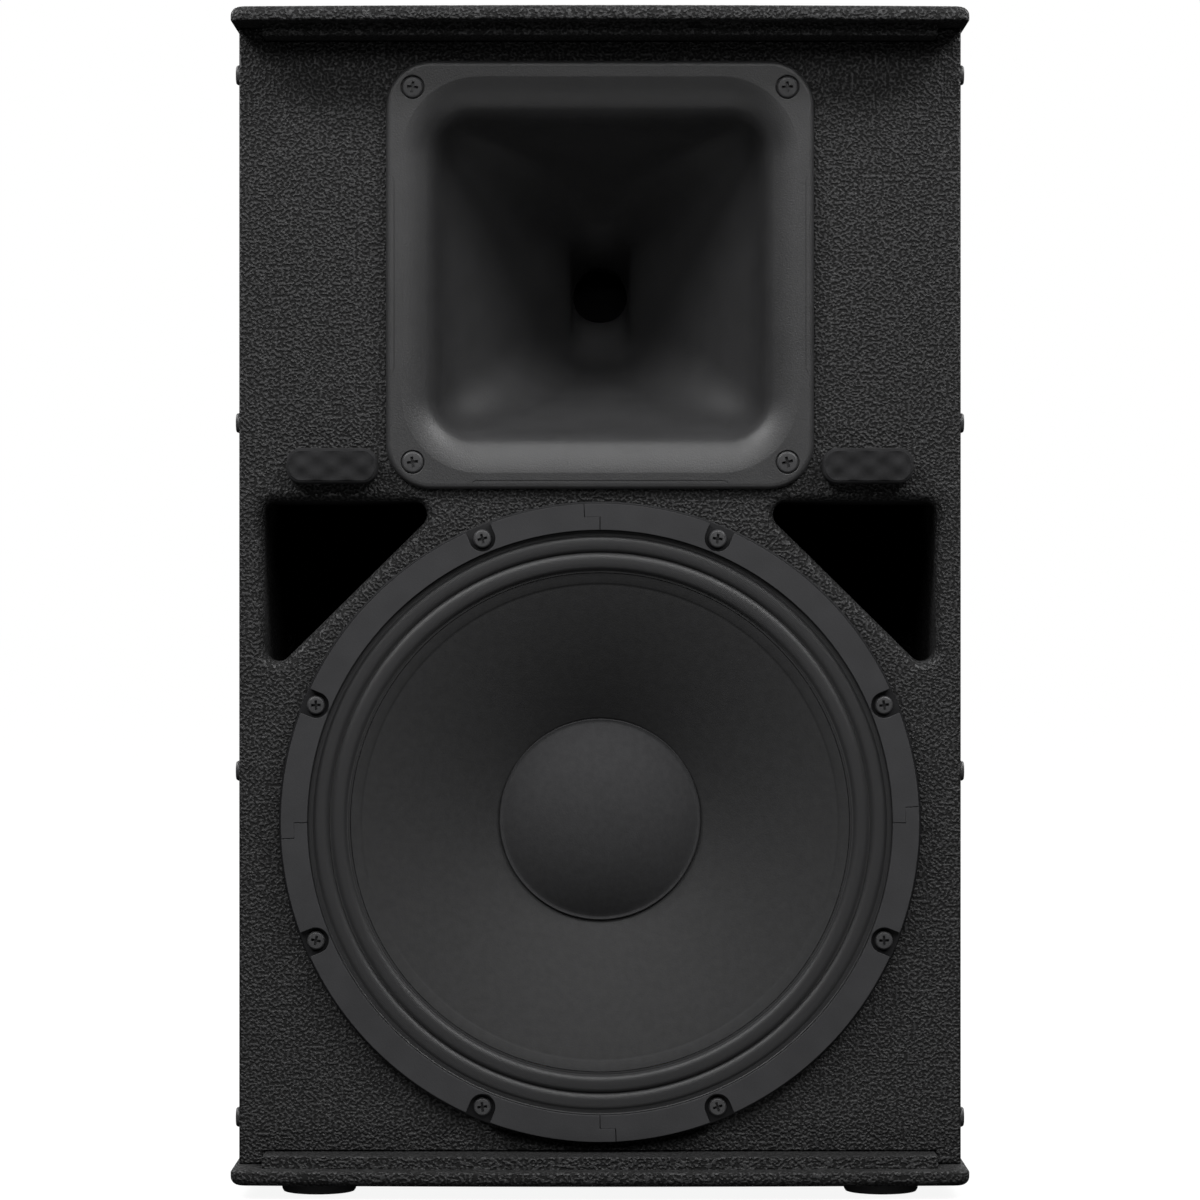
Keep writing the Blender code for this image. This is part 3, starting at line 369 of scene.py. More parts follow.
def facing(direction, x, y, z):
    """Matrix that stands local w out of a face, with local v up where the face is upright."""
    axes = {"front": ((1, 0, 0), (0, 0, 1), (0, -1, 0)), "back": ((-1, 0, 0), (0, 0, 1), (0, 1, 0)),
            "right": ((0, 1, 0), (0, 0, 1), (1, 0, 0)), "left": ((0, -1, 0), (0, 0, 1), (-1, 0, 0)),
            "down": ((1, 0, 0), (0, -1, 0), (0, 0, -1))}
    turn = Matrix(axes[direction]).transposed().to_4x4()
    return shifted(x, y, z) @ turn


def corner_places(half_u, half_v, w=0.0):
    return [shifted(u * half_u, v * half_v, w) for u, v in ((1, 1), (-1, 1), (-1, -1), (1, -1))]


def carve(work, cutters):
    """Cut closed shapes out of a closed shape, with Blender's exact Boolean."""
    target = bpy.data.objects.new("carved", bpy.data.meshes.new("carved"))
    bmesh.ops.recalc_face_normals(work, faces=work.faces)
    work.to_mesh(target.data)
    tool = bpy.data.objects.new("cutter", bpy.data.meshes.new("cutter"))
    joined = merge(cutters)
    bmesh.ops.recalc_face_normals(joined, faces=joined.faces)
    joined.to_mesh(tool.data)
    joined.free()
    for item in (target, tool):
        bpy.context.scene.collection.objects.link(item)
    change = target.modifiers.new("Cut", "BOOLEAN")
    change.operation = "DIFFERENCE"
    change.solver = "EXACT"
    change.use_self = True
    change.object = tool
    bpy.context.view_layer.update()
    evaluated = target.evaluated_get(bpy.context.evaluated_depsgraph_get())
    result = bpy.data.meshes.new_from_object(evaluated)
    work.clear()
    work.from_mesh(result)
    for item in (target, tool):
        bpy.data.objects.remove(item, do_unlink=True)
    return work


def piece(name, work, slot, nodes=(), place=Matrix(), body="cabinet", sharp=35, ride=True):
    """Turn a bmesh into a piece that rides on a body and stands for CAD nodes."""
    bmesh.ops.transform(work, matrix=place, verts=work.verts)
    bmesh.ops.recalc_face_normals(work, faces=work.faces)
    mesh = bpy.data.meshes.new(name)
    work.to_mesh(mesh)
    work.free()
    mesh.materials.append(MATERIALS[slot])
    mesh.shade_smooth()
    mesh.set_sharp_from_angle(angle=math.radians(sharp))
    item = bpy.data.objects.new(name, mesh)
    bpy.context.scene.collection.objects.link(item)
    if nodes:
        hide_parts(*nodes)
    if ride:
        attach(item, body)
    return item


def solidify(item, thickness):
    wall = item.modifiers.new("Wall", "SOLIDIFY")
    wall.thickness = thickness
    wall.offset = -1.0
    wall.use_even_offset = False


# ---------------- materials
def link(tree, source, target):
    tree.links.new(source, target)


def noise(tree, coords, scale, **values):
    node = tree.nodes.new("ShaderNodeTexNoise")
    node.inputs["Scale"].default_value = scale
    for name, value in values.items():
        node.inputs[name].default_value = value
    link(tree, coords, node.inputs["Vector"])
    return node.outputs["Fac"]


def mapped(tree, value, low, high, new_low, new_high):
    node = tree.nodes.new("ShaderNodeMapRange")
    for name, number in (("From Min", low), ("From Max", high), ("To Min", new_low), ("To Max", new_high)):
        node.inputs[name].default_value = number
    link(tree, value, node.inputs["Value"])
    return node.outputs["Result"]


def varied(tree, value, middle, swing):
    """A noise value spread over middle - swing to middle + swing."""
    return mapped(tree, value, 0.3, 0.7, middle - swing, middle + swing)


def combined(tree, operation, first, second):
    node = tree.nodes.new("ShaderNodeMath")
    node.operation = operation
    for socket, value in zip(node.inputs, (first, second)):
        if isinstance(value, (int, float)):
            socket.default_value = value
        else:
            link(tree, value, socket)
    return node.outputs[0]


def tinted(tree, colour, factor):
    """The colour times a factor that varies over the surface."""
    node = tree.nodes.new("ShaderNodeVectorMath")
    node.operation = "SCALE"
    node.inputs[0].default_value = colour
    link(tree, factor, node.inputs["Scale"])
    return node.outputs[0]


def bump(tree, height, distance):
    node = tree.nodes.new("ShaderNodeBump")
    node.inputs["Distance"].default_value = distance
    link(tree, height, node.inputs["Height"])
    return node.outputs["Normal"]


def stretched(tree, coords, scale):
    node = tree.nodes.new("ShaderNodeMapping")
    node.inputs["Scale"].default_value = scale
    link(tree, coords, node.inputs["Vector"])
    return node.outputs["Vector"]


def start_material(slot, roughness, metallic=0.0, specular=0.5):
    """A material with its shader, and the object coordinates that its textures use."""
    material = bpy.data.materials.new(slot)
    material.use_nodes = True
    tree = material.node_tree
    shader = tree.nodes["Principled BSDF"]
    shader.inputs["Roughness"].default_value = roughness
    shader.inputs["Metallic"].default_value = metallic
    shader.inputs["Specular IOR Level"].default_value = specular
    coords = tree.nodes.new("ShaderNodeTexCoord").outputs["Object"]
    return material, tree, shader, coords


def surface(tree, shader, colour, height, depth, roughness=None):
    """Link a shader's colour, its bump and, where it varies, its roughness."""
    link(tree, colour, shader.inputs["Base Color"])
    link(tree, bump(tree, height, depth), shader.inputs["Normal"])
    if roughness:
        link(tree, roughness, shader.inputs["Roughness"])


def grained(slot, colour, roughness, metallic=0.0, specular=0.5, grain=900, depth=0.00008,
            mottle=0.12, mottle_scale=60):
    """Fine moulded or felted surface: noise in its height, its roughness and its colour."""
    material, tree, shader, coords = start_material(slot, roughness, metallic, specular)
    fine = noise(tree, coords, grain, Detail=3.0, Roughness=0.6)
    broad = noise(tree, coords, mottle_scale, Detail=2.0)
    shade = combined(tree, "MULTIPLY", varied(tree, broad, 1, mottle), varied(tree, fine, 1, mottle))
    surface(tree, shader, tinted(tree, colour, shade), fine, depth, varied(tree, fine, roughness, 0.05))
    return material


def coating():
    """Sprayed textured coat: small sharp pimples of uneven size; painted shade in the pits, painted highlight
    on tops.
    """
    material, tree, shader, coords = start_material("textured_coating", 0.62, specular=0.42)
    small = noise(tree, coords, 560, Detail=0.6, Roughness=0.60)
    broad = noise(tree, coords, 70, Detail=2.0)
    pimples = mapped(tree, small, 0.40, 0.62, 0.0, 1.0)
    # The colour follows the pimples' height: painted shade in the pits and a painted highlight on the tops.
    # The broad noise is random tone.
    shade = combined(tree, "MULTIPLY", mapped(tree, small, 0.40, 0.62, 0.10, 2.05),
                     varied(tree, broad, 1, 0.10))
    surface(tree, shader, tinted(tree, (0.0158, 0.0158, 0.0162), shade), pimples, 0.00070,
            mapped(tree, small, 0.40, 0.62, 0.80, 0.45))
    return material


def brushed(slot, colour, roughness, scale):
    """Bare metal with fine lines along one direction."""
    material, tree, shader, coords = start_material(slot, roughness, 1.0)
    lines = noise(tree, stretched(tree, coords, scale), 1.0, Detail=4.0)
    surface(tree, shader, tinted(tree, colour, varied(tree, lines, 1, 0.12)), lines, 0.00004,
            varied(tree, lines, roughness, 0.08))
    return material


def plywood():
    """Bare birch: long grain, with the layers' edges left to the noise."""
    material, tree, shader, coords = start_material("birch_plywood", 0.7)
    lines = noise(tree, stretched(tree, coords, (8, 60, 260)), 1.0, Detail=5.0, Distortion=0.6)
    shade = mapped(tree, lines, 0.3, 0.7, 0.8, 1.15)
    surface(tree, shader, tinted(tree, (0.45, 0.32, 0.19), shade), lines, 0.00006)
    return material


def cloth(slot, colour, roughness, thread, sheen, depth, specular):
    """Woven cloth: two crossed waves of threads, with a little sheen."""
    material, tree, shader, coords = start_material(slot, roughness, specular=specular)
    shader.inputs["Sheen Weight"].default_value = sheen
    split = tree.nodes.new("ShaderNodeSeparateXYZ")
    link(tree, coords, split.inputs[0])
    waves = [combined(tree, "SINE", combined(tree, "MULTIPLY", split.outputs[axis], math.tau / thread), 0.0)
             for axis in ("X", "Z")]
    weave = combined(tree, "MULTIPLY", waves[0], waves[1])
    uneven = noise(tree, coords, 700, Detail=2.0)
    height = combined(tree, "ADD", combined(tree, "MULTIPLY", weave, 0.5), uneven)
    shade = mapped(tree, height, -0.2, 1.2, 0.82, 1.18)
    surface(tree, shader, tinted(tree, colour, shade), height, depth)
    return material


GRAINED = {                 # colour, roughness, and what differs from the usual values of grained()
    # port walls: partly their own black paint and partly painted shade; darker than the coating so the ports
    # read black
    "port_paint": ((0.008, 0.008, 0.009), 0.80, dict(grain=700, depth=0.00006, specular=0.3)),
    "horn_plastic": ((0.033, 0.033, 0.034), 0.45, dict(grain=1100, depth=0.00016, mottle=0.08,
                                                       specular=0.60)),
    "black_plastic": ((0.020, 0.020, 0.021), 0.42, dict(grain=1200, depth=0.00004)),
    "grille_foam": ((0.022, 0.022, 0.023), 0.95, dict(grain=1600, depth=0.00030, mottle=0.25, specular=0.2)),
    "foot_rubber": ((0.014, 0.014, 0.015), 0.80, dict(grain=700, depth=0.00005)),
    "black_steel": ((0.056, 0.056, 0.058), 0.45, dict(metallic=0.15, grain=1400, depth=0.00003)),
    "basket_paint": ((0.006, 0.006, 0.007), 0.60, dict(grain=1300, depth=0.00004, specular=0.3)),
    "gasket_board": ((0.038, 0.038, 0.040), 0.82, dict(grain=1000, depth=0.00009, mottle=0.08, specular=0.3)),
    "paper_cone": ((0.0265, 0.0265, 0.0272), 0.75, dict(depth=0.00012, mottle=0.10, mottle_scale=220,
                                                        specular=0.3)),
    "dust_cap": ((0.0325, 0.0325, 0.0340), 0.85, dict(depth=0.00009, mottle=0.10, mottle_scale=260,
                                                      specular=0.3)),
    "ferrite": ((0.050, 0.048, 0.047), 0.65, dict(grain=800)),
    # diaphragm: painted shade, made near-black and dull so the throat reads black with no dome showing
    "diaphragm_film": ((0.006, 0.006, 0.007), 0.80, dict(grain=500, depth=0.00002, specular=0.1)),
    "circuit_board": ((0.03, 0.12, 0.06), 0.50, dict(grain=600, depth=0.00003)),
    "capacitor_shell": ((0.65, 0.50, 0.10), 0.45, dict(grain=600, depth=0.00003))}


BRUSHED = {                 # colour, roughness, and the scale of the lines along each axis
    "zinc_steel": ((0.55, 0.55, 0.57), 0.35, (40, 900, 40)),
    "coil_wire": ((0.60, 0.28, 0.14), 0.35, (30, 2600, 30))}

CLOTHS = {                  # colour, roughness, spacing of the threads, sheen, depth, specular
    "surround_cloth": ((0.016, 0.016, 0.017), 0.45, 0.0011, 0.15, 0.00008, 0.5),
    "spider_cloth": ((0.50, 0.38, 0.16), 0.90, 0.0009, 0.2, 0.0002, 0.4)}


def make_materials():
    """One material for each slot."""
    materials = {"textured_coating": coating(), "birch_plywood": plywood()}
    for make, table in ((brushed, BRUSHED), (cloth, CLOTHS)):
        for slot, values in table.items():
            materials[slot] = make(slot, *values)
    for slot, (colour, roughness, rest) in GRAINED.items():
        materials[slot] = grained(slot, colour, roughness, **rest)
    return materials


# ---------------- cabinet pieces
def plan_path():
    """Plan of the body's outer faces, from front right round the back to front left."""
    return [(HALF_WIDTH, BAFFLE_FRONT), (HALF_WIDTH, SLANT_START), (REAR_HALF_WIDTH, REAR_FACE),
            (-REAR_HALF_WIDTH, REAR_FACE), (-HALF_WIDTH, SLANT_START), (-HALF_WIDTH, BAFFLE_FRONT)]


def offset_path(points, distance):
    moved = []
    normals = []
    for a, b in zip(points, points[1:]):
        run = (Vector(b) - Vector(a)).normalized()
        normals.append(Vector((-run.y, run.x)))
    for i, point in enumerate(points):
        before = normals[max(i - 1, 0)]
        after = normals[min(i, len(normals) - 1)]
        middle = (before + after).normalized()
        moved.append(tuple(Vector(point) + middle * distance / middle.dot(after)))
    return moved


def bowed_front(half_width, middle_y, steps=24):
    full = HALF_WIDTH + LIP_OVERHANG
    radius = (full ** 2 + FRONT_BOW ** 2) / (2 * FRONT_BOW)
    xs = [half_width * (2 * i / steps - 1) for i in range(steps + 1)]
    return [(x, middle_y + radius - math.sqrt(radius ** 2 - x ** 2)) for x in xs]


def make_cap_panel(name, box_low, box_high, downwards):
    """Top or bottom panel: a lip with a full rounded edge, and the tongue that hangs from it."""
    path = offset_path(plan_path(), -LIP_OVERHANG)
    front = bowed_front(HALF_WIDTH + LIP_OVERHANG, CAD_BOX[0].y)
    radii = [LIP_CORNER] * 5 + [0.0] * (len(front) - 2) + [LIP_CORNER]
    lip = rounded(path[1:-1] + front, radii)
    work = bmesh.new()
    rings = edge_rings(lip, LIP_OUTER_EDGE, LIP_THICKNESS, LIP_INNER_EDGE, 8)
    rings.append(at_height(inset(lip, LIP_INNER_EDGE + SUPPORT), -LIP_THICKNESS))
    loft(work, rings, cap_first=True, cap_last=True)
    inner = offset_path(plan_path(), PANEL + GAP)
    tongue_front = bowed_front(INNER_HALF_WIDTH - GAP, CAD_BOX[0].y + TONGUE_SETBACK)
    outline = inner[1:-1] + tongue_front
    depth = box_high.z - box_low.z
    overlap = LIP_THICKNESS / 2
    tongue = bmesh.new()
    rings = [[(x, y, -overlap) for x, y in outline]]
    rings += [[(x, y, -depth - w) for x, y, w in ring]
              for ring in edge_rings(outline, TONGUE_EDGE, TONGUE_EDGE)[::-1][1:]]
    loft(tongue, rings, cap_first=True, cap_last=True)
    work = merge([work, tongue])
    if downwards:
        place = shifted(0, 0, box_high.z)
    else:
        place = shifted(0, 0, box_low.z) @ Matrix.Diagonal((1, 1, -1, 1))
    piece(name + "_coated", work, "textured_coating", [name], place)


def port_outline():
    """The left port: a right triangle with its right angle at the upper outer corner."""
    edge = -INNER_HALF_WIDTH + GAP
    corners = [(edge, PORT_TOP), (edge, PORT_TOP - PORT_LEG_Z), (edge + PORT_LEG_X, PORT_TOP)]
    return rounded(corners, PORT_RADII, 10)


def make_front_board():
    """Baffle, with its coat carried over the side panels' front edges so that no joint shows."""
    low, high = SIDE[0].z, SIDE[1].z
    inner_low, inner_high = BAFFLE[0].z, BAFFLE[1].z
    half, inner = HALF_WIDTH, INNER_HALF_WIDTH
    outer = [(-half, low), (-inner, low), (-inner, inner_low), (inner, inner_low), (inner, low),
             (half, low), (half, high), (inner, high), (inner, inner_high), (-inner, inner_high),
             (-inner, high), (-half, high)]
    left = port_outline()
    right = [(-u, v) for u, v in left][::-1]
    horn = [(u, v + HORN_HEIGHT) for u, v in rounded_ring(HORN_CUTOUT[0], HORN_CUTOUT[0], HORN_CUTOUT[1])]
    woofer = circle(CUTOUT_RADIUS, ROUND, (0, WOOFER_HEIGHT))
    holes = [(left, PORT_EDGE), (right, PORT_EDGE), (horn, HOLE_EDGE), (woofer, HOLE_EDGE)]
    work = board(outer, holes, BAFFLE_BACK - BAFFLE_FRONT, BOARD_EDGE)
    piece("baffle_coated", work, "textured_coating", ["baffle"], facing("front", 0, BAFFLE_FRONT, 0))


def make_wall_panels():
    """Side, corner and rear panels: their outer bends are rounded, and they meet without a gap."""
    outer = plan_path()
    inner = offset_path(outer, PANEL)
    names = ["side_panel_right", "rear_corner_panel_right", "rear_panel",
             "rear_corner_panel_left", "side_panel_left"]
    bends = rounded(outer, [0.0] + [BEND_RADIUS] * 4 + [0.0], BEND_STEPS, closed=False)
    for path in (inner, bends):
        path[0] = (path[0][0], BAFFLE_BACK)
        path[-1] = (path[-1][0], BAFFLE_BACK)
    middles = [1 + BEND_STEPS // 2 + i * (BEND_STEPS + 1) for i in range(4)]
    cuts = [0] + middles + [len(bends) - 1]
    for i, name in enumerate(names):
        low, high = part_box(name)[0].z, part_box(name)[1].z
        outline = bends[cuts[i]:cuts[i + 1] + 1] + [inner[i + 1], inner[i]]
        work = bmesh.new()
        loft(work, [at_height(outline, low), at_height(outline, high)], cap_first=True, cap_last=True)
        if name.startswith("side"):
            work = carve(work, [handle_hole(1 if name.endswith("right") else -1)])
        if name == "rear_panel":
            half_u, half_v = INPUT_CUTOUT
            hole = box((-half_u, 0.1, INPUT_HEIGHT - half_v), (half_u, 0.3, INPUT_HEIGHT + half_v))
            work = carve(work, [hole])
        piece(name + "_coated", work, "textured_coating", [name])


def handle_hole(sign):
    half_y = HANDLE_HALF_Y - HANDLE_RIM + HANDLE_WALL + GAP
    half_z = HANDLE_HALF_Z - HANDLE_RIM + HANDLE_WALL + GAP
    ring = rounded_ring(half_y, half_z, HANDLE_CORNER + HANDLE_WALL)
    work = bmesh.new()
    loft(work, [at_height(ring, -0.1), at_height(ring, 0.1)], cap_first=True, cap_last=True)
    side = "right" if sign > 0 else "left"
    bmesh.ops.transform(work, matrix=facing(side, sign * HALF_WIDTH, HANDLE_Y, HANDLE_Z), verts=work.verts)
    return work


# ---------------- screws
def screw_head(radius, height, recess, shank=0.004):
    """Pan head with a cross recess, seat at w = 0, and a short shank under it."""
    crown = rounded([(0, height), (radius * 0.88, height * 0.95), (radius, height * 0.50), (radius, 0)],
                    [0, radius * 0.20, height * 0.20, 0], 5, closed=False)
    work = turned(crown + [(radius * 0.45, 0), (radius * 0.45, -shank), (0, -shank)], 40)
    half, arm, deep = recess / 2, recess * 0.13, height * 0.95
    cutters = [box((-half, -arm, height - deep), (half, arm, height + 0.002)),
               box((-arm, -half, height - deep), (arm, half, height + 0.002))]
    return carve(work, cutters)


def screws(label, kind, places, turns=(0,), node=None):
    """A row of screws of one kind at the matrices in places."""
    original = screw_head(*SCREW_SIZES[kind])
    for i, place in enumerate(places, start=1):
        turn = Matrix.Rotation(math.radians(turns[i % len(turns)]), 4, "Z")
        nodes = [node % i] if node else []
        piece("%s_%d" % (label, i), original.copy(), "black_steel", nodes, place @ turn)
    original.free()


def woofer_screw_places():
    places = []
    for i in range(WOOFER_SCREWS):
        angle = math.tau * (i + 0.5) / WOOFER_SCREWS
        places.append((WOOFER_SCREW_CIRCLE * math.cos(angle),
                       WOOFER_HEIGHT + WOOFER_SCREW_CIRCLE * math.sin(angle)))
    return places


def horn_screw_places():
    return [(x, HORN_HEIGHT + z) for x in (-HORN_SCREW, HORN_SCREW) for z in (-HORN_SCREW, HORN_SCREW)]


def make_screws():
    rows = (("woofer", woofer_screw_places(), WOOFER_FRONT + GASKET_THICKNESS),
            ("horn", horn_screw_places(), HORN_FRONT + HORN_RECESS_DEPTH - GAP))
    for kind, spots, seat in rows:
        places = [facing("front", x, seat, z) for x, z in spots]
        screws(kind + "_screw_head", kind, places, SCREW_TURNS, kind + "_screw_%d")
    for side, sign in (("left", -1), ("right", 1)):
        places = [facing(side, sign * HALF_WIDTH, SIDE_SCREW_Y, z) for z in SIDE_SCREW_HEIGHTS]
        screws("side_screw_" + side, "side", places, SCREW_TURNS)


# ---------------- woofer pieces
def woofer_place(depth=0.0):
    return facing("front", 0, WOOFER_FRONT + depth, WOOFER_HEIGHT)


def gasket_outline():
    """A quarter of the ring, with stepped ends and a notch open to the outer edge at each screw."""
    middle = (GASKET_OUTER + GASKET_INNER) / 2
    clear = GASKET_CLEAR / GASKET_INNER
    quarter = math.pi / 2
    notch_half = math.asin(NOTCH_RADIUS / GASKET_OUTER)
    edges = [GASKET_SEAM_STEP + clear]
    for i in range(2):
        centre = quarter * (i + 0.5) / 2
        edges += [centre - notch_half, centre + notch_half]
    edges.append(quarter + GASKET_SEAM_STEP - clear)
    outline = []
    for i in range(0, len(edges), 2):
        outline += arc_points((0, 0), GASKET_OUTER, edges[i], edges[i + 1], 20)
        if i < 4:
            angle = quarter * (i // 2 + 0.5) / 2
            seat = (WOOFER_SCREW_CIRCLE * math.cos(angle), WOOFER_SCREW_CIRCLE * math.sin(angle))
            outline += arc_points(seat, NOTCH_RADIUS, angle - math.pi / 2, angle - 3 * math.pi / 2, 20)
    ends = [(middle, quarter + GASKET_SEAM_STEP - clear), (middle, quarter - clear)]
    outline += [(r * math.cos(t), r * math.sin(t)) for r, t in ends]
    outline += arc_points((0, 0), GASKET_INNER, quarter - clear, clear, 48)
    starts = [(middle, clear), (middle, GASKET_SEAM_STEP + clear)]
    outline += [(r * math.cos(t), r * math.sin(t)) for r, t in starts]
    return outline


def make_gaskets():
    for i, side in enumerate(("upper_right", "upper_left", "lower_left", "lower_right")):
        work = board(gasket_outline(), [], GASKET_THICKNESS, GASKET_EDGE)
        place = woofer_place() @ Matrix.Rotation(i * math.pi / 2, 4, "Z")
        piece("gasket_%s_board" % side, work, "gasket_board", ["gasket_" + side], place)


def make_basket():
    """Pressed frame with a rolled rim, eight windows in its bowl and a seat for the motor."""
    front = -(GASKET_THICKNESS + GAP)
    profile = [(FLANGE_RADIUS, front), (FLANGE_RADIUS, front - 0.0029), (0.1765, front - 0.0029),
               (0.1760, -0.030), (0.0860, -0.096), (0.0860, -0.1037), (0.0440, -0.1037),
               (0.0440, -0.0997), (0.0820, -0.0997), (0.0820, -0.094), (0.1725, -0.028), (0.1725, front)]
    radii = [0.0009, 0.0009, 0.001, 0.004, 0.004, 0.001, 0.0005, 0.0005, 0.002, 0.004, 0.004, 0.001]
    work = turned(rounded(profile, radii, 4), ROUND, ring=True)
    windows = []
    for i in range(WOOFER_SCREWS):
        window = box((0.085, -0.027, -0.084), (0.165, 0.027, -0.042))
        spin = Matrix.Rotation(math.tau * (i + 0.5) / WOOFER_SCREWS, 4, "Z")
        bmesh.ops.transform(window, matrix=spin, verts=window.verts)
        windows.append(window)
    work = carve(work, windows)
    piece("woofer_basket_frame", work, "basket_paint", ["woofer_basket"], woofer_place())


def surround_depth(radius):
    """Depth of the cloth's front face: a flat edge, two half-round rolls and sharp grooves."""
    for crest in ROLL_CRESTS:
        share = (radius - crest) / ROLL_HALF
        if abs(share) < 1:
            return ROLL_FOOT - ROLL_HEIGHT * (1 - abs(share) ** ROLL_SHAPE) ** 0.5
    return ROLL_FOOT


def make_surround():
    """Two-roll cloth edge from the basket to the cone; it rides on no body, so nothing moves it with the
    cone.
    """
    outer, inner = GASKET_INNER - 0.0004, CONE_EDGE + 0.0004
    radii = [outer, outer - 0.0006, outer - 0.0028]
    for crest in ROLL_CRESTS:
        radii += [crest + ROLL_HALF * math.cos(math.pi * k / 20) for k in range(21)]
    radii.append(inner)
    front = [(r, -surround_depth(r)) for r in radii]
    front[0] = (outer, -0.0040)
    front[1] = (outer - 0.0006, -0.0046)
    cloth_back = [(r, h - 0.0007) for r, h in reversed(front)]
    work = turned(front + cloth_back, ROUND, ring=True)
    item = piece("surround_cloth_rolls", work, "surround_cloth", ["surround"], woofer_place(), ride=False)
    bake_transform(item)


def cone_depth(radius):
    part = (CONE_BAND - radius) / (CONE_BAND - CONE_NECK)
    return CONE_TOP + CONE_FALL * ((1 - CONE_CURVE) * part + CONE_CURVE * part ** 2)


def make_cone():
    """Paper cone: the cloth's glued band at its edge, a small step, and a gently curved wall."""
    front = [(CONE_EDGE, 0.0066), (CONE_EDGE - 0.0008, 0.0067), (CONE_BAND + 0.0006, 0.0083),
             (CONE_BAND, 0.0087), (CONE_BAND - 0.0004, 0.0087 + CONE_STEP)]
    start = CONE_BAND - 0.0012
    steps = 40
    for i in range(steps + 1):
        radius = start + (CONE_NECK - start) * i / steps
        front.append((radius, cone_depth(radius) + CONE_STEP))
    back = [(r, -d - 0.0008) for r, d in reversed(front)]
    work = turned([(r, -d) for r, d in front] + back, ROUND, ring=True)
    piece("cone_paper", work, "paper_cone", ["cone"], woofer_place(), body="cone_assembly", sharp=50)


def cap_depth(radius):
    sphere = (CAP_RADIUS ** 2 + CAP_RISE ** 2) / (2 * CAP_RISE)
    return CAP_RIM_DEPTH - CAP_RISE + sphere - math.sqrt(sphere ** 2 - radius ** 2)


def make_dust_cap():
    """Domed cap with a narrow glued flange."""
    dome = [(CAP_RADIUS * i / 32, cap_depth(CAP_RADIUS * i / 32)) for i in range(33)]
    rim = [(CAP_RADIUS + 0.0006, CAP_RIM_DEPTH + 0.0002), (CAP_FLANGE - 0.0005, CAP_RIM_DEPTH - 0.0004),
           (CAP_FLANGE, CAP_RIM_DEPTH + 0.0002)]
    front = [(r, -d) for r, d in dome + rim]
    back = [(r, -d - 0.0007) for r, d in reversed(dome + rim)]
    work = turned(front + back, ROUND)
    piece("dust_cap_dome", work, "dust_cap", ["dust_cap"], woofer_place(), body="cone_assembly", sharp=50)


# ---------------- horn
def smooth_sections(controls, steps=4):
    """Catmull-Rom curve through rows of numbers."""
    rows = np.array([controls[0]] + list(controls) + [controls[-1]], float)
    result = []
    for i in range(1, len(rows) - 2):
        a, b, c, d = rows[i - 1:i + 3]
        for k in range(steps):
            t = k / steps
            result.append(0.5 * (2 * b + (c - a) * t + (2 * a - 5 * b + 4 * c - d) * t ** 2
                                 + (3 * b - a - 3 * c + d) * t ** 3))
    result.append(rows[-2])
    return result


def scored_line(half_length, turn):
    """Outline of a line scored along one side of the horn's flange."""
    near = MARK_INSET - HORN_HALF
    far = near - MARK_RUN_OUT
    path = [(-half_length - 2 * MARK_RUN_OUT, far), (-half_length, near), (half_length, near),
            (half_length + 2 * MARK_RUN_OUT, far)]
    outline = offset_path(path, -MARK_WIDTH / 2) + offset_path(path, MARK_WIDTH / 2)[::-1]
    spin = Matrix.Rotation(turn, 2)
    return [tuple(spin @ Vector(point)) for point in outline]


def make_horn():
    """Moulded flange and bell: flat border with sunk screw seats, and a mouth that rolls in."""
    work = bmesh.new()
    outer = rounded_ring(HORN_HALF, HORN_HALF, HORN_CORNER)
    loops = [loft(work, [at_height(inset(outer, inward), -depth) for inward, depth in HORN_RIM])[0]]
    start = HORN_SECTIONS[0]
    mouth = [at_height(rounded_ring(start[0] + SUPPORT, start[1] + SUPPORT, start[2] + SUPPORT)[::-1], 0.0)]
    for half_u, half_v, corner, depth in smooth_sections(HORN_SECTIONS):
        mouth.append(at_height(rounded_ring(half_u, half_v, corner)[::-1], -depth))
    loops.append(loft(work, mouth)[0])
    for x, z in horn_screw_places():
        seat = circle(HORN_RECESS, 40, (x, z - HORN_HEIGHT))[::-1]
        rings = edge_rings(seat, 0.0003, HORN_RECESS_DEPTH, steps=3)
        rings.append(at_height(inset(seat, -HORN_RECESS + 0.002), -HORN_RECESS_DEPTH))
        loops.append(loft(work, rings, cap_last=True)[0])
    for half_length, turn in ((MARK_BOTTOM_HALF, 0.0), (MARK_SIDE_HALF, math.pi / 2),
                              (MARK_SIDE_HALF, -math.pi / 2)):
        line = scored_line(half_length, turn)[::-1]
        loops.append(loft(work, [at_height(line, 0.0), at_height(line, -MARK_DEPTH)], cap_last=True)[0])
    fill_between(work, loops)
    item = piece("horn_moulding", work, "horn_plastic", ["horn"],
                 facing("front", 0, HORN_FRONT, HORN_HEIGHT), sharp=40)
    solidify(item, HORN_WALL)


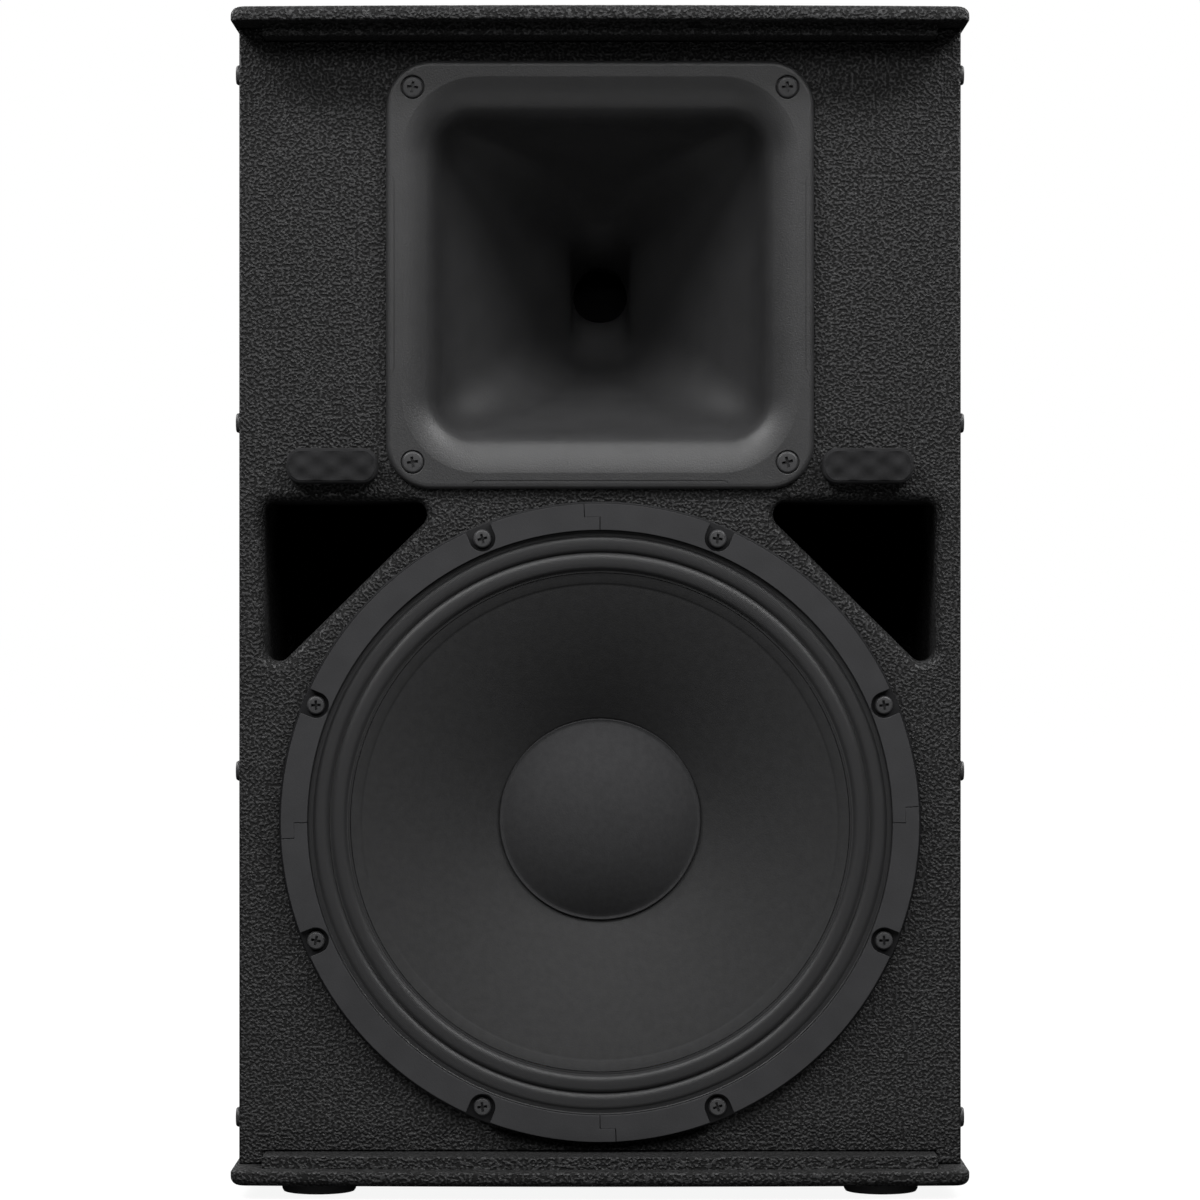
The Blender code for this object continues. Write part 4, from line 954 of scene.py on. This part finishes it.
# ---------------- pads and feet
def make_pads():
    """Foam rests for the grille: soft-edged blocks with a dimpled face."""
    half_u = (PAD[1].x - PAD[0].x) / 2
    half_v = (PAD[1].z - PAD[0].z) / 2
    thick = PAD[1].y - PAD[0].y
    outline = rounded_ring(half_u, half_v, PAD_CORNER, 10, 14)
    spine = [(max(-half_u + half_v, min(half_u - half_v, u)), 0.0) for u, v in outline]
    shares = [1 - k / 18 for k in range(19)]

    def dimple(u, v, share):
        lattice = math.cos(math.tau * u / DIMPLE_PITCH[0]) * math.cos(math.tau * v / DIMPLE_PITCH[1])
        edge = min(1.0, (1 - share) * 5)
        return DIMPLE * (lattice * edge - 1.0)

    for side, sign in (("left", -1), ("right", 1)):
        rings = [at_height(outline, -thick), at_height(outline, -0.0035)]
        for k in range(5):
            turn = math.pi / 2 * k / 4
            rings.append(at_height(inset(outline, PAD_EDGE * (1 - math.cos(turn))),
                                   -0.0027 + PAD_EDGE * math.sin(turn)))
        for share in shares[3:]:
            ring = [(c[0] + (u - c[0]) * share, c[1] + (v - c[1]) * share)
                    for (u, v), c in zip(outline, spine)]
            rings.append([(u, v, dimple(u, v, share)) for u, v in ring])
        work = bmesh.new()
        loft(work, rings, cap_first=True)
        bmesh.ops.remove_doubles(work, verts=work.verts, dist=1e-6)
        x = sign * (PAD[0].x + PAD[1].x) / 2
        item = piece("grille_pad_%s_foam" % side, work, "grille_foam", ["grille_pad_" + side],
                     facing("front", x, PAD[0].y, (PAD[0].z + PAD[1].z) / 2), sharp=60)


def make_feet():
    """Moulded rubber feet with a rounded edge and a sunk fixing screw."""
    for name in ("foot_front_left", "foot_front_right", "foot_rear_left", "foot_rear_right"):
        low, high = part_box(name)
        radius = (high.x - low.x) / 2
        height = high.z - low.z
        profile = [(0, 0), (radius, 0), (radius, height - 0.0005), (radius - 0.0012, height),
                   (0.0085, height), (0.0072, height - 0.0035), (0, height - 0.0035)]
        work = turned(rounded(profile, [0, 0.0006, 0.003, 0.0012, 0.0008, 0.0006, 0], 5, closed=False), 64)
        x, y = (low.x + high.x) / 2, (low.y + high.y) / 2
        piece(name + "_rubber", work, "foot_rubber", [name], facing("down", x, y, high.z))
        head = screw_head(*SCREW_SIZES["foot"])
        piece(name + "_screw", head, "black_steel", [], facing("down", x, y, low.z + 0.0036))


# ---------------- handles, pole socket and inputs
def make_handles():
    """Side handles: a moulded pocket with a screwed flange, and a grip bar across it."""
    for side, sign in (("left", -1), ("right", 1)):
        place = facing(side, sign * HANDLE_FACE, HANDLE_Y, HANDLE_Z)
        outer = rounded_ring(HANDLE_HALF_Y, HANDLE_HALF_Z, HANDLE_CORNER + 0.006)
        work = bmesh.new()
        loops = [loft(work, edge_rings(outer, 0.0008, HANDLE_FACE - HALF_WIDTH - GAP))[0]]
        half_u, half_v = HANDLE_HALF_Y - HANDLE_RIM, HANDLE_HALF_Z - HANDLE_RIM
        pocket = rounded_ring(half_u, half_v, HANDLE_CORNER)[::-1]
        rings = edge_rings(pocket, 0.0022, 0.006)
        for inward, depth in ((0.0, 0.030), (-0.0006, 0.036), (-0.0030, 0.042), (-0.0070, 0.0465),
                              (-0.0120, HANDLE_DEPTH)):
            rings.append(at_height(inset(pocket, inward), -depth))
        loops.append(loft(work, rings, cap_last=True)[0])
        fill_between(work, loops)
        item = piece("handle_cup_%s_moulding" % side, work, "black_plastic", ["handle_cup_" + side], place)
        solidify(item, HANDLE_MOULDING)
        spots = corner_places(HANDLE_HALF_Y - 0.0085, HANDLE_HALF_Z - 0.0085, -HANDLE_SCREW_SUNK)
        screws("handle_screw_" + side, "handle", [place @ spot for spot in spots])
        low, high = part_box("handle_bar_" + side)
        radius = (high.z - low.z) / 2
        length = high.y - low.y
        upper = [(0, length / 2), (radius, length / 2), (radius, length / 2 - 0.006),
                 (radius - 0.0012, length / 2 - 0.014)]
        profile = upper + [(r, -h) for r, h in reversed(upper)]
        radii = [0, 0.0004, 0.002, 0.004, 0.004, 0.002, 0.0004, 0]
        work = turned(rounded(profile, radii, 4, closed=False), 48)
        piece("handle_bar_%s_grip" % side, work, "black_plastic", ["handle_bar_" + side],
              shifted(*(low + high) / 2) @ Matrix.Rotation(math.pi / 2, 4, "X"))


def make_pole_socket():
    """Flanged steel cup for a stand pole, with its four screws."""
    low, high = POLE
    flange, cup, bore = high.x, 0.0225, 0.01775
    height = high.z - low.z
    profile = [(0, -height), (cup, -height), (cup, -0.0025), (flange, -0.0025), (flange, 0), (bore, 0),
               (bore, 0.004 - height), (0, 0.004 - height)]
    radii = [0, 0.003, 0.001, 0.0006, 0.0008, 0.0016, 0.002, 0]
    work = turned(rounded(profile, radii, 5, closed=False), 96)
    y = (low.y + high.y) / 2
    place = facing("down", 0, y, low.z)
    piece("pole_socket_cup", work, "black_steel", ["pole_socket"], place)
    turns = [math.tau * (i + 0.5) / 4 for i in range(4)]
    spots = [shifted(POLE_SCREW_CIRCLE * math.cos(t), POLE_SCREW_CIRCLE * math.sin(t), 0) for t in turns]
    screws("pole_screw", "pole", [place @ spot for spot in spots])


def make_inputs():
    """Input plate with two twist-lock loudspeaker sockets and four screws."""
    low, high = INPUT
    half_u, half_v = (high.x - low.x) / 2, (high.z - low.z) / 2
    place = facing("back", 0, high.y, INPUT_HEIGHT)
    outer = rounded_ring(half_u, half_v, 0.008)
    holes = [(circle(INPUT_HOLE, 64, (u, 0)), 0.0003) for u in (-INPUT_SOCKET, INPUT_SOCKET)]
    work = board(outer, holes, high.y - low.y, 0.0006)
    piece("input_plate_steel", work, "black_steel", ["input_plate"], place)
    for side, u in (("left", INPUT_SOCKET), ("right", -INPUT_SOCKET)):
        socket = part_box("input_socket_" + side)
        length = socket[1].y - socket[0].y
        rise = socket[1].y - high.y
        profile = [(0, 0.004 - length), (0.0115, 0.004 - length), (0.0115, 0), (0.0158, 0),
                   (0.0158, -rise + GAP), (0.0133, -rise + GAP), (0.0133, -length), (0, -length)]
        shell = turned(rounded(profile, [0, 0.0008, 0.0008, 0.0004, 0, 0, 0.001, 0], 4, closed=False), 64)
        core_profile = [(0.0044, 0.0036 - length), (0.0044, -0.006), (0.0074, -0.006),
                        (0.0074, 0.0036 - length)]
        core = turned(rounded(core_profile, [0, 0.0005, 0.0005, 0], 3), 48, ring=True)
        keys = []
        for turn in (0.25, 0.75):
            x, y = 0.0104 * math.cos(math.tau * turn), 0.0104 * math.sin(math.tau * turn)
            keys.append(box((x - 0.002, y - 0.0016, 0.003 - length), (x + 0.002, y + 0.0016, -0.003)))
        work = merge([shell, core] + keys)
        piece("input_socket_%s_shell" % side, work, "black_plastic", ["input_socket_" + side],
              place @ shifted(u, 0, rise))
    spots = corner_places(half_u - 0.008, half_v - 0.008)
    screws("input_screw", "input", [place @ spot for spot in spots])


# ---------------- CAD nodes that stay
def finish_cad_nodes():
    """The inner pieces keep their CAD shape and take the procedural finish of their slot."""
    slots = {part["node"]: part["material_slot"] for part in frame["record"]["subparts"]}
    for name, item in frame["nodes"].items():
        item.data.materials.clear()
        item.data.materials.append(MATERIALS[slots[name]])


# ---------------- camera, light and floor
CAMERA_PLACE = (0.0, -2.879, 0.3546)
CAMERA_LENS = 137.0         # millimetres
CAMERA_SENSOR = 36.0
FLOOR_RADIUS = 40.0
FLOOR_COLOUR = (0.14, 0.14, 0.14, 1.0)
FLOOR_FADE = (0.5, 1.6)     # metres from the object's middle
FLOOR_GLOW = (0.91, 1.0)    # at those two distances
WHITE = (1.0, 1.0, 1.0, 1.0)
LAMP_TARGET = Vector((0.0, BAFFLE_FRONT, 0.36))
LAMP_DISTANCE = 2.6
LAMPS = [                   # name, elevation and turn about Z in degrees, width, height, power in watts
    ("overhead", 57, 0, 2.6, 0.45, 20.0),
    ("high_front", 37, 0, 2.6, 0.45, 17.0),
    ("front", 27, 0, 2.6, 0.45, 9.5),
    ("under", -38, 0, 2.6, 0.45, 8.5),
    ("high_left", 45, -55, 0.9, 0.6, 31.0),
    ("high_right", 45, 55, 0.9, 0.6, 31.0),
    ("rear_left", 35, -118, 1.2, 1.0, 30.0),
    ("rear_right", 35, 118, 1.2, 1.0, 30.0),
    ("rear", 30, 180, 2.0, 0.9, 26.0)]


def make_camera():
    camera = bpy.data.cameras.new("camera")
    camera.lens = CAMERA_LENS
    camera.sensor_width = CAMERA_SENSOR
    item = bpy.data.objects.new("camera", camera)
    item.location = CAMERA_PLACE
    item.rotation_euler = (math.pi / 2, 0.0, 0.0)
    bpy.context.scene.collection.objects.link(item)
    bpy.context.scene.camera = item


def make_world():
    """Plain white behind the object; all its light comes from the lamps."""
    world = bpy.data.worlds.new("studio")
    world.use_nodes = True
    background = world.node_tree.nodes["Background"]
    background.inputs["Color"].default_value = WHITE
    background.inputs["Strength"].default_value = 1.0
    bpy.context.scene.world = world
    for ray in ("diffuse", "glossy", "transmission", "scatter"):
        setattr(world.cycles_visibility, ray, False)
    bpy.context.scene.view_settings.view_transform = "Standard"


def make_floor():
    """Large pale floor: it catches shadows, glows white far away, and lights nothing."""
    work = bmesh.new()
    loft(work, [at_height(circle(FLOOR_RADIUS, 96), 0.0), at_height(circle(0.01, 96), 0.0)], cap_last=True)
    mesh = bpy.data.meshes.new("floor")
    work.to_mesh(mesh)
    work.free()
    floor = bpy.data.objects.new("floor", mesh)
    bpy.context.scene.collection.objects.link(floor)
    material, tree, shader, coords = start_material("floor", 0.9, specular=0.0)
    shader.inputs["Base Color"].default_value = FLOOR_COLOUR
    shader.inputs["Emission Color"].default_value = WHITE
    reach = tree.nodes.new("ShaderNodeVectorMath")
    reach.operation = "LENGTH"
    link(tree, coords, reach.inputs[0])
    glow = mapped(tree, reach.outputs["Value"], *FLOOR_FADE, *FLOOR_GLOW)
    link(tree, glow, shader.inputs["Emission Strength"])
    material.cycles.emission_sampling = "NONE"
    mesh.materials.append(material)
    floor.visible_diffuse = False
    floor.visible_glossy = False
    floor.visible_shadow = False


def make_lights():
    """Soft lamps on a sphere round the front; turn 0 is straight ahead of it, and 180 behind."""
    for name, elevation, turn, width, height, power in LAMPS:
        up, round_z = math.radians(elevation), math.radians(turn)
        away = Vector((math.cos(up) * math.sin(round_z), -math.cos(up) * math.cos(round_z), math.sin(up)))
        data = bpy.data.lights.new(name, "AREA")
        data.shape = "RECTANGLE"
        data.size = width
        data.size_y = height
        data.energy = power
        item = bpy.data.objects.new(name, data)
        item.location = LAMP_TARGET + LAMP_DISTANCE * away
        item.rotation_euler = (-away).to_track_quat("-Z", "Y").to_euler()
        bpy.context.scene.collection.objects.link(item)


MATERIALS = make_materials()
make_camera()
make_world()
make_floor()
make_lights()
finish_cad_nodes()
make_cap_panel("top_panel", *TOP, downwards=True)
make_cap_panel("bottom_panel", *BOTTOM, downwards=False)
make_front_board()
make_wall_panels()
make_basket()
make_gaskets()
make_surround()
make_cone()
make_dust_cap()
make_horn()
make_screws()
make_pads()
make_feet()
make_handles()
make_pole_socket()
make_inputs()
